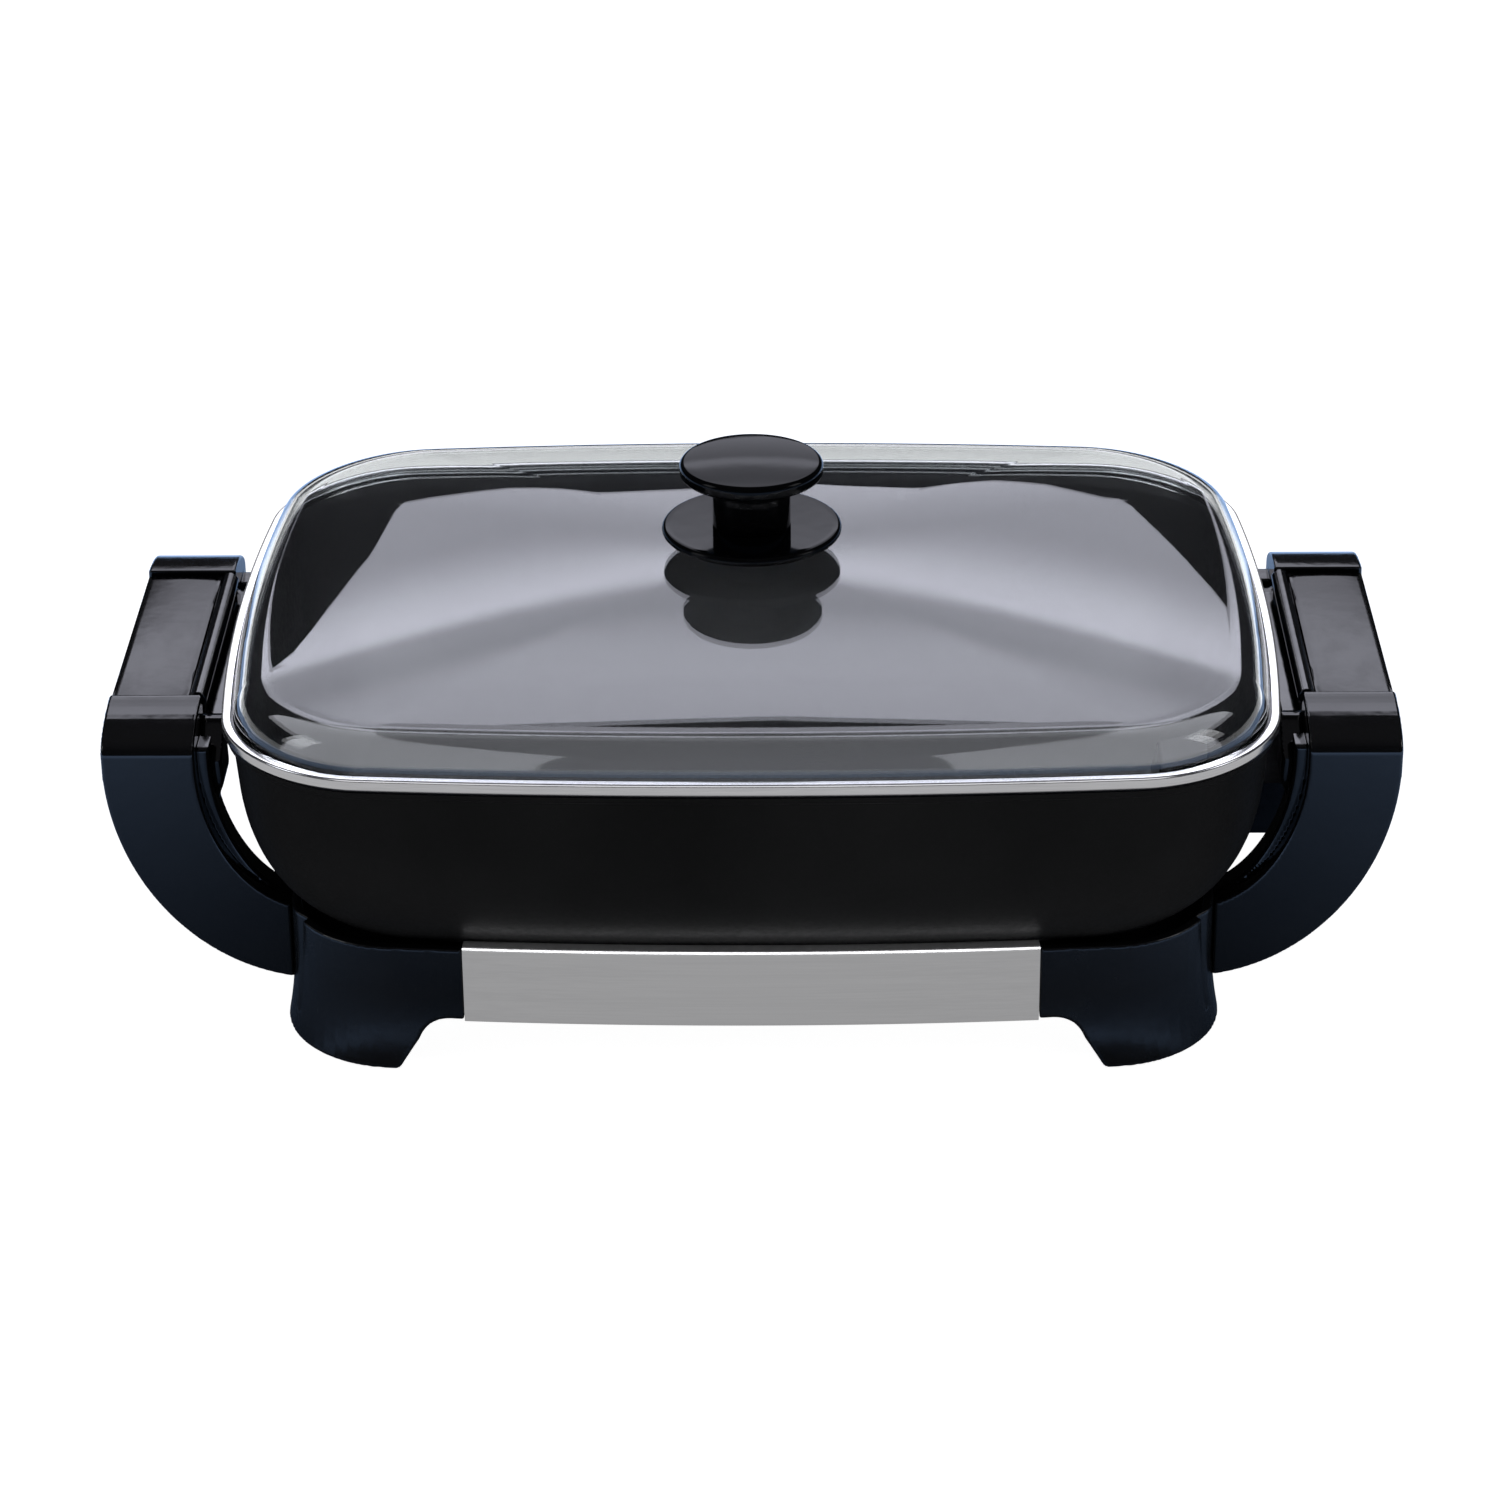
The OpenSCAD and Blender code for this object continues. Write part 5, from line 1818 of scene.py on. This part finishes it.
@dataclass
class Screws:
    """Cross-recess screws, grown on points by one tree."""

    head_radius: float = 3.6
    head_height: float = 2.2
    shank_radius: float = 1.9

    def head_template(self) -> bpy.types.Object:
        """Makes a pan head of unit radius with a cross recess, pointing up.

        Returns:
            The template.
        """
        rows = [(1.0, 0.0), (1.0, 0.28), (0.975, 0.38), (0.92, 0.46), (0.83, 0.52), (0.72, 0.565),
                (0.6, 0.59), (0.5, 0.6), (0.42, 0.605), (0.34, 0.61), (0.26, 0.61), (0.18, 0.61),
                (0.1, 0.61), (0.0, 0.61)]
        points, faces = turned(rows, segments=40)
        across = np.minimum(np.abs(points[:, 0]), np.abs(points[:, 1]))
        along = np.maximum(np.abs(points[:, 0]), np.abs(points[:, 1]))
        sunk = np.clip((0.16 - across) / 0.06, 0, 1) * np.clip((0.56 - along) / 0.1, 0, 1)
        points[:, 2] -= 0.34 * sunk * (points[:, 2] > 0.5)
        return helper("screw_head_template", points * 1000.0, (), faces)

    def shank_template(self) -> bpy.types.Object:
        """Makes a threaded shank of unit radius and unit length, pointing down.

        Returns:
            The template.
        """
        rows = [(0.0, -1.0), (0.7, -1.0), (0.92, -0.97)]
        for k in range(14):
            z = -0.95 + k * 0.068
            rows += [(0.86, z), (1.0, z + 0.026), (0.86, z + 0.052)]
        rows += [(1.0, 0.0), (0.0, 0.0)]
        points, faces = turned(rows, segments=20)
        return helper("screw_shank_template", points * 1000.0, (), faces)

    def grow(self, name: str, node: str, body: Body, material: bpy.types.Material,
             growth: Growth, head: bpy.types.Object, shank: bpy.types.Object) -> None:
        """Puts a screw in each seat of a node.

        Args:
            name: The piece's name.
            node: The node that holds the plain screws.
            body: The body that they ride on.
            material: The finish.
            growth: The tree.
            head: The head's template.
            shank: The shank's template.
        """
        seats, turns, lengths = [], [], []
        for solid in CadShape.islands(node):
            low, high = solid.min(0), solid.max(0)
            axis = int(np.argmax(high - low))
            others = [n for n in range(3) if n != axis]
            centre = (low + high) / 2
            wide = np.abs(solid[:, others] - centre[others]).max(1) > self.shank_radius * 1.3
            head_side = 1.0 if solid[wide][:, axis].mean() > centre[axis] else -1.0
            seat = centre.copy()
            end = high[axis] if head_side > 0 else low[axis]
            seat[axis] = end - head_side * self.head_height
            point = Vector([0.0, 0.0, 0.0])
            point[axis] = head_side
            turn = Vector((0.0, 0.0, 1.0)).rotation_difference(point).to_euler()
            seats.append(seat)
            turns.append(tuple(turn))
            lengths.append(float(high[axis] - low[axis] - self.head_height))
        points = helper(name + "_seats", np.array(seats))
        turn_data = points.data.attributes.new("turn", "FLOAT_VECTOR", "POINT")
        turn_data.data.foreach_set("vector", np.array(turns, float).ravel())
        length_data = points.data.attributes.new("length", "FLOAT", "POINT")
        length_data.data.foreach_set("value", np.array(lengths, float) * MM)
        piece = growth.run(name, {"Seats": points, "Head": head, "Shank": shank,
                                  "Head Radius": self.head_radius * MM,
                                  "Head Height": self.head_height * MM,
                                  "Shank Radius": self.shank_radius * MM, "Seed": 7,
                                  "Material": material})
        bpy.data.objects.remove(points)
        crease(piece, 45.0)
        place(piece, body, [node])

    def tree(self) -> Growth:
        """Builds the tree that grows heads and shanks on seats.

        Returns:
            The tree.
        """
        g = Growth("screws_in_seats", {
            "Seats": bpy.types.Object, "Head": bpy.types.Object, "Shank": bpy.types.Object,
            "Head Radius": float, "Head Height": float, "Shank Radius": float, "Seed": int,
            "Material": bpy.types.Material})
        seats = g.node("GeometryNodeObjectInfo", {}, {"Object": g.given("Seats")})
        turn = g.node("GeometryNodeInputNamedAttribute", {"data_type": "FLOAT_VECTOR"},
                      {"Name": "turn"})
        length = g.node("GeometryNodeInputNamedAttribute", {"data_type": "FLOAT"},
                        {"Name": "length"})
        spin = g.node("FunctionNodeRandomValue", {"data_type": "FLOAT"},
                      {2: 0.0, 3: 1.57, "Seed": g.given("Seed")})
        around = g.node("ShaderNodeCombineXYZ", {}, {2: spin.outputs[1]})
        joined = []
        tall = g.node("ShaderNodeMath", {"operation": "DIVIDE"}, {0: g.given("Head Height"), 1: 0.61})
        sizes = ((g.given("Head"), g.given("Head Radius"), tall.outputs[0]),
                 (g.given("Shank"), g.given("Shank Radius"), length.outputs[0]))
        for source, radius, height in sizes:
            part = g.node("GeometryNodeObjectInfo", {}, {"Object": source})
            scale = g.node("ShaderNodeCombineXYZ", {}, {0: radius, 1: radius, 2: height})
            put = g.node("GeometryNodeInstanceOnPoints", {},
                         {"Points": seats.outputs["Geometry"], "Instance": part.outputs["Geometry"],
                          "Rotation": turn.outputs[0], "Scale": scale.outputs[0]})
            joined.append(g.node("GeometryNodeRotateInstances", {},
                                 {"Instances": put.outputs[0], "Rotation": around.outputs[0]}))
        join = g.node("GeometryNodeJoinGeometry")
        for part in joined:
            g.tree.links.new(part.outputs[0], join.inputs[0])
        g.end(join.outputs[0])
        return g

    def build(self, finishes: Finishes) -> None:
        """Makes every screw.

        Args:
            finishes: The finishes.
        """
        growth, head, shank = self.tree(), self.head_template(), self.shank_template()
        for owner in ("guard", "panel", "arm", "strip", "pan", "leg", "case"):
            body = Body.CONTROL if owner == "case" else Body.BASE
            self.grow(owner + "_fasteners", owner + "_screws", body, finishes.screw, growth,
                      head, shank)
        for thing in (head, shank):
            bpy.data.objects.remove(thing)


@dataclass
class HeatControl:
    """The plug-in heat control and its dial."""

    dial_radius: float = 10.0
    dial_low: float = 236.3
    dial_high: float = 240.9
    axis_z: float = 54.5
    ribs: int = 24

    def dial_tree(self) -> Growth:
        """Builds the tree that sets grip ribs round the dial.

        Returns:
            The tree.
        """
        g = Growth("dial_ribs", {"Ribs": int, "Ring Radius": float, "Rib Radius": float,
                                 "Rib Length": float, "Material": bpy.types.Material})
        ring = g.node("GeometryNodeMeshCircle", {}, {"Vertices": g.given("Ribs"),
                                                     "Radius": g.given("Ring Radius")})
        rib = g.node("GeometryNodeMeshCylinder", {}, {"Vertices": 12,
                                                      "Radius": g.given("Rib Radius"),
                                                      "Depth": g.given("Rib Length")})
        put = g.node("GeometryNodeInstanceOnPoints", {}, {"Points": ring.outputs[0],
                                                          "Instance": rib.outputs[0]})
        turn = g.node("GeometryNodeTransform", {}, {"Geometry": put.outputs[0],
                                                    "Rotation": (0.0, math.pi / 2, 0.0)})
        g.end(turn.outputs[0])
        return g

    def build(self, finishes: Finishes) -> None:
        """Makes the case and the dial.

        Args:
            finishes: The finishes.
        """
        CadShape.eased("control_case_top_shell", "control_case_upper", 0.7, finishes.case,
                       Body.CONTROL, "case_plastic")
        CadShape.eased("control_case_bottom_shell", "control_case_lower", 0.7, finishes.case,
                       Body.CONTROL, "case_plastic")
        CadShape.eased("cord_gland_ring", "cord_gland", 0.35, finishes.rubber, Body.CONTROL,
                       "case_plastic")
        mid = (0.0, 0.0, self.axis_z)
        r = self.dial_radius
        profile = [(0.0, self.dial_low + 0.6), (r - 1.2, self.dial_low), (r - 0.7, self.dial_low + 0.2),
                   (r - 0.5, self.dial_low + 0.6), (r - 0.6, self.dial_high - 0.9),
                   (r - 1.0, self.dial_high - 0.35), (r - 1.7, self.dial_high - 0.05),
                   (r - 2.4, self.dial_high - 0.1), (r - 3.2, self.dial_high - 0.5),
                   (0.0, self.dial_high - 0.6)]
        points, faces = turned(profile, mid, Axis.X, 96)
        knob = to_object("dial_body", points, faces, [finishes.knob])
        crease(knob, 45.0)
        ribs = self.dial_tree().run("dial_grip_ribs", {
            "Ribs": self.ribs, "Ring Radius": (r - 0.65) * MM, "Rib Radius": 0.6 * MM,
            "Rib Length": 3.0 * MM, "Material": finishes.knob})
        ribs.data.transform(Matrix.Translation(Vector((238.5 * MM, 0.0, self.axis_z * MM))))
        crease(ribs, 40.0)
        place(knob, Body.DIAL, ["dial"])
        place(ribs, Body.DIAL, [])


class Carried:
    """Pieces whose shape the frame already gives, with their finishes."""

    PIECES: tuple[tuple[str, str], ...] = (
        ("heating_element", "sheath"), ("terminal_pins", "brass"), ("terminal_bushings", "ceramic"),
        ("knob_screw", "screw"), ("knob_washer", "screw"), ("knob_gaskets", "silicone"),
        ("probe_rod", "probe"), ("contact_sleeves", "brass"), ("thermostat_switch", "ceramic"),
        ("pilot_lens", "lens"), ("pilot_lamp", "lamp"), ("dial_shaft", "brass"),
        ("foot_pads", "rubber"))

    def build(self, finishes: Finishes) -> None:
        """Dresses the carried pieces and eases the sheet-metal ones.

        Args:
            finishes: The finishes.
        """
        for node, finish in self.PIECES:
            piece = frame["nodes"][node]
            piece.data.materials.clear()
            piece.data.materials.append(getattr(finishes, finish))
            piece.data.polygons.foreach_set("use_smooth", np.ones(len(piece.data.polygons), bool))
            crease(piece, 30.0)
            log.info("%s: carried over", node)
        CadShape.eased("socket_guard_shell", "socket_guard", 0.5, finishes.guard, Body.BASE,
                       "guard_metal")
        for side in ("left", "right"):
            CadShape.eased(f"rail_{side}_steel", f"rail_{side}", 0.35, finishes.rail, Body.BASE,
                           "rail_steel")


@dataclass
class Studio:
    """Floor, lights and camera."""

    eye: Colour = (21.96, -1564.32, 862.07)
    yaw: float = -0.015
    pitch: float = 0.469
    roll: float = -0.0095
    focal: float = 4456.12
    frame_width: float = 1500.0

    def camera(self) -> None:
        """Sets the camera."""
        data = bpy.data.cameras.new("viewpoint")
        data.sensor_width = 36.0
        data.lens = 36.0 * self.focal / self.frame_width
        data.clip_start, data.clip_end = 0.05, 60.0
        camera = bpy.data.objects.new("viewpoint", data)
        cp, sp, cw, sw = (math.cos(self.pitch), math.sin(self.pitch), math.cos(self.yaw),
                          math.sin(self.yaw))
        ahead = Vector((sw * cp, cw * cp, -sp))
        right = Vector((cw, -sw, 0.0))
        up = right.cross(ahead)
        c, s = math.cos(self.roll), math.sin(self.roll)
        x_axis, y_axis = c * right + s * up, -s * right + c * up
        camera.matrix_world = Matrix((
            (x_axis.x, y_axis.x, -ahead.x, self.eye[0] * MM),
            (x_axis.y, y_axis.y, -ahead.y, self.eye[1] * MM),
            (x_axis.z, y_axis.z, -ahead.z, self.eye[2] * MM), (0.0, 0.0, 0.0, 1.0)))
        bpy.context.scene.collection.objects.link(camera)
        bpy.context.scene.camera = camera

    def sheet(self, name: str, corners: Sequence[Colour], faces: Sequence[Sequence[int]],
              material: bpy.types.Material) -> bpy.types.Object:
        """Puts up a flat sheet that belongs to the stage.

        Args:
            name: Its name.
            corners: Its corners, in metres.
            faces: Its faces.
            material: Its material.

        Returns:
            The sheet.
        """
        mesh = bpy.data.meshes.new(name)
        mesh.from_pydata([tuple(c) for c in corners], [], list(faces))
        mesh.materials.append(material)
        sheet = bpy.data.objects.new(name, mesh)
        bpy.context.scene.collection.objects.link(sheet)
        return sheet

    def floor(self) -> None:
        """Lays the pale floor, and the dim one that gloss reflects."""
        recipe = Recipe("pale_floor")
        shader = recipe.node("ShaderNodeBsdfPrincipled", {}, {
            "Base Color": (0.8, 0.8, 0.8, 1.0), "Roughness": 0.9, "Specular IOR Level": 0.0,
            "Emission Color": (1.0, 1.0, 1.0, 1.0), "Emission Strength": 0.97})
        recipe.node("ShaderNodeOutputMaterial", {}, {"Surface": shader.outputs[0]})
        square = [(-9.0, -9.0, 0.0), (9.0, -9.0, 0.0), (9.0, 9.0, 0.0), (-9.0, 9.0, 0.0)]
        floor = self.sheet("floor", square, [(0, 1, 2, 3)], recipe.material)
        floor.visible_glossy = False
        recipe = Recipe("dim_floor")
        spot = recipe.wire(recipe.node("ShaderNodeTexCoord"), "Object")
        reach = recipe.wire(recipe.node("ShaderNodeVectorMath", {"operation": "LENGTH"}, {0: spot}),
                            "Value")
        glow = 0.05 + 1.35 * reach.step(0.16, 0.7)
        shader = recipe.node("ShaderNodeEmission", {}, {"Color": (0.42, 0.62, 1.0, 1.0),
                                                        "Strength": glow})
        recipe.node("ShaderNodeOutputMaterial", {}, {"Surface": shader.outputs[0]})
        dim = self.sheet("dim_floor", [(x, y, -0.002) for x, y, _ in square], [(0, 1, 2, 3)],
                         recipe.material)
        dim.visible_camera = dim.visible_diffuse = dim.visible_transmission = False
        dim.visible_shadow = False
        self.dim_floor = dim

    def reach(self, source: bpy.types.Object, pieces: Iterable[str]) -> None:
        """Lets a light act on some pieces only.

        Args:
            source: The lamp or glowing sheet.
            pieces: The names of the pieces.
        """
        lit = bpy.data.collections.new(source.name + "_reach")
        for name in pieces:
            lit.objects.link(bpy.data.objects[name])
        source.light_linking.receiver_collection = lit

    def lamp(self, name: str, at: Colour, aim: Colour, size: tuple[float, float], glow: float,
             colour: Colour = (1.0, 1.0, 1.0), only: Sequence[str] = ()) -> None:
        """Hangs a softbox.

        Args:
            name: Its name.
            at: Where it hangs, in metres.
            aim: What it points at.
            size: Its width and height.
            glow: How bright its face is.
            colour: Its colour.
            only: The pieces that it lights, or none for all.
        """
        data = bpy.data.lights.new(name, "AREA")
        data.shape, data.size, data.size_y = "RECTANGLE", size[0], size[1]
        data.energy, data.color = glow * math.pi * size[0] * size[1], colour
        light = bpy.data.objects.new(name, data)
        light.location = at
        light.rotation_mode = "QUATERNION"
        light.rotation_quaternion = (Vector(aim) - Vector(at)).to_track_quat("-Z", "Y")
        light.visible_camera = False
        bpy.context.scene.collection.objects.link(light)
        if only:
            self.reach(light, only)

    def rear_card(self) -> None:
        """Hangs the large rear card whose lower edge is curved."""
        edge = [(-28.0, 33.0), (-20.0, 25.5), (-17.0, 23.6), (-14.4, 21.6), (-13.2, 20.2),
                (-11.2, 18.2), (-7.8, 15.3), (-2.0, 11.9), (0.2, 11.2), (5.8, 13.6), (8.0, 15.6),
                (11.2, 19.5), (14.0, 21.2), (16.0, 22.4), (19.5, 24.8), (28.0, 33.0),
                (28.0, 50.0), (13.0, 49.2), (0.0, 48.9), (-13.0, 49.2), (-28.0, 50.0)]
        far = 3.2
        points = []
        for azimuth, elevation in edge:
            a, e = math.radians(azimuth), math.radians(elevation)
            points.append((far * math.sin(a) * math.cos(e), far * math.cos(a) * math.cos(e),
                           0.15 + far * math.sin(e)))
        recipe = Recipe("rear_card_light")
        parts = recipe.node("ShaderNodeSeparateXYZ", {},
                            {0: recipe.node("ShaderNodeTexCoord").outputs["Object"]})
        height = recipe.wire(parts, "Z")
        glow = (1.3 + 1.25 * height.step(1.34, 1.48) - 1.1 * height.step(1.5, 1.66)
                + 0.9 * height.step(1.8, 2.15) + 0.4 * height.step(2.1, 2.4))
        shader = recipe.node("ShaderNodeEmission", {}, {"Color": (0.86, 0.87, 1.0, 1.0),
                                                        "Strength": glow})
        recipe.node("ShaderNodeOutputMaterial", {}, {"Surface": shader.outputs[0]})
        middle = tuple(float(v) for v in np.mean(points, axis=0))
        card = self.sheet("rear_card", [*points, middle],
                          [(i, (i + 1) % len(points), len(points)) for i in range(len(points))],
                          recipe.material)
        card.visible_camera = card.visible_shadow = False

    def sky(self) -> None:
        """Sets the dim surroundings, white where the camera sees them directly."""
        recipe = Recipe("surroundings", world=True)
        bpy.context.scene.world = recipe.material
        coord = recipe.node("ShaderNodeTexCoord")
        parts = recipe.node("ShaderNodeSeparateXYZ", {}, {0: coord.outputs["Generated"]})
        shift = recipe.node("ShaderNodeMapRange", {}, {"Value": parts.outputs["Z"],
                                                       "From Min": -1.0})
        stops = ((0.0, (0.02, 0.03, 0.05)), (0.5, (0.03, 0.035, 0.045)),
                 (0.60, (0.03, 0.031, 0.036)), (0.85, (0.04, 0.04, 0.045)),
                 (0.92, (0.07, 0.07, 0.08)), (1.0, (0.10, 0.10, 0.11)))
        ramp = recipe.node("ShaderNodeValToRGB", {"stops": stops}, {0: shift.outputs[0]})
        dim = recipe.node("ShaderNodeBackground", {}, {"Color": ramp.outputs[0]})
        plain = recipe.node("ShaderNodeBackground", {}, {"Color": (1.0, 1.0, 1.0, 1.0)})
        path = recipe.node("ShaderNodeLightPath")
        mix = recipe.node("ShaderNodeMixShader", {}, {0: path.outputs["Is Camera Ray"],
                                                      1: dim.outputs[0], 2: plain.outputs[0]})
        recipe.node("ShaderNodeOutputWorld", {}, {"Surface": mix.outputs[0]})

    def build(self) -> None:
        """Sets the whole stage."""
        view = bpy.context.scene.view_settings
        view.view_transform, view.look, view.exposure, view.gamma = "Standard", "None", 0.0, 1.0
        self.camera()
        self.floor()
        self.sky()
        self.rear_card()

    def light(self) -> None:
        """Hangs the softboxes, once the pieces are there."""
        glass, band = ("lid_dome",), ("lid_band_steel",)
        steel = ("strip_front_steel", "strip_rear_steel", "rail_left_steel", "rail_right_steel")
        apart = ("pan_casting", "floor", "rear_card", *steel, *band)
        self.reach(self.dim_floor, [piece.name for piece in bpy.context.scene.objects
                                    if piece.type == "MESH" and piece.name not in apart])
        for name, side in (("front_softbox", -1.0), ("back_softbox", 1.0)):
            for lit, glow in ((steel, 5.4), (band, 1.0)):
                self.lamp(f"{name}_{lit[0]}", (0.0, side * 2.0, 1.7), (0.0, 0.0, 0.03),
                          (3.0, 2.0), glow, only=lit)
        self.lamp("floor_bounce", (0.0, 0.0, 0.001), (0.0, 0.0, 1.0), (5.0, 5.0), 0.5,
                  only=(*steel, *band))
        lavender = (0.90, 0.92, 1.0)
        for name, left, right, glow in (("left", -3.0, -0.5, 2.6), ("middle", -0.5, 0.4, 1.0),
                                        ("right", 0.4, 3.0, 2.6)):
            x, width = (left + right) / 2, right - left
            self.lamp(f"roof_{name}", (x, -0.9, 2.3), (x, -0.9, 0.0), (width, 4.6), glow,
                      lavender, glass)
            self.lamp(f"front_{name}", (x, -3.2, 1.15), (x, 0.0, 1.15), (width, 2.3), glow,
                      lavender, glass)
        for name, side, y, tint in (("left", -1.0, -0.7, (0.93, 0.96, 1.0)),
                                    ("right", 1.0, -0.5, (0.96, 0.97, 1.0))):
            self.lamp(f"side_{name}", (side * 3.0, -1.9, 1.15), (0.0, -1.9, 1.15), (2.6, 2.3),
                      2.6, lavender, glass)
            self.lamp(f"{name}_softbox", (side * 2.4, y, 1.5), (0.0, 0.0, 0.05), (0.8, 1.2),
                      2.3, tint)


def main() -> None:
    """Builds the skillet and its stage."""
    logging.basicConfig(level=logging.INFO, format="%(message)s")
    studio = Studio()
    studio.build()
    finishes = Finishes()
    sweeper = SectionSweep()
    Pan().build(finishes)
    Lid().build(sweeper, finishes)
    Handle().build(finishes)
    Legs().build(finishes)
    Strips().build(sweeper, finishes)
    Screws().build(finishes)
    HeatControl().build(finishes)
    Carried().build(finishes)
    studio.light()


if __name__ == "__main__":
    main()
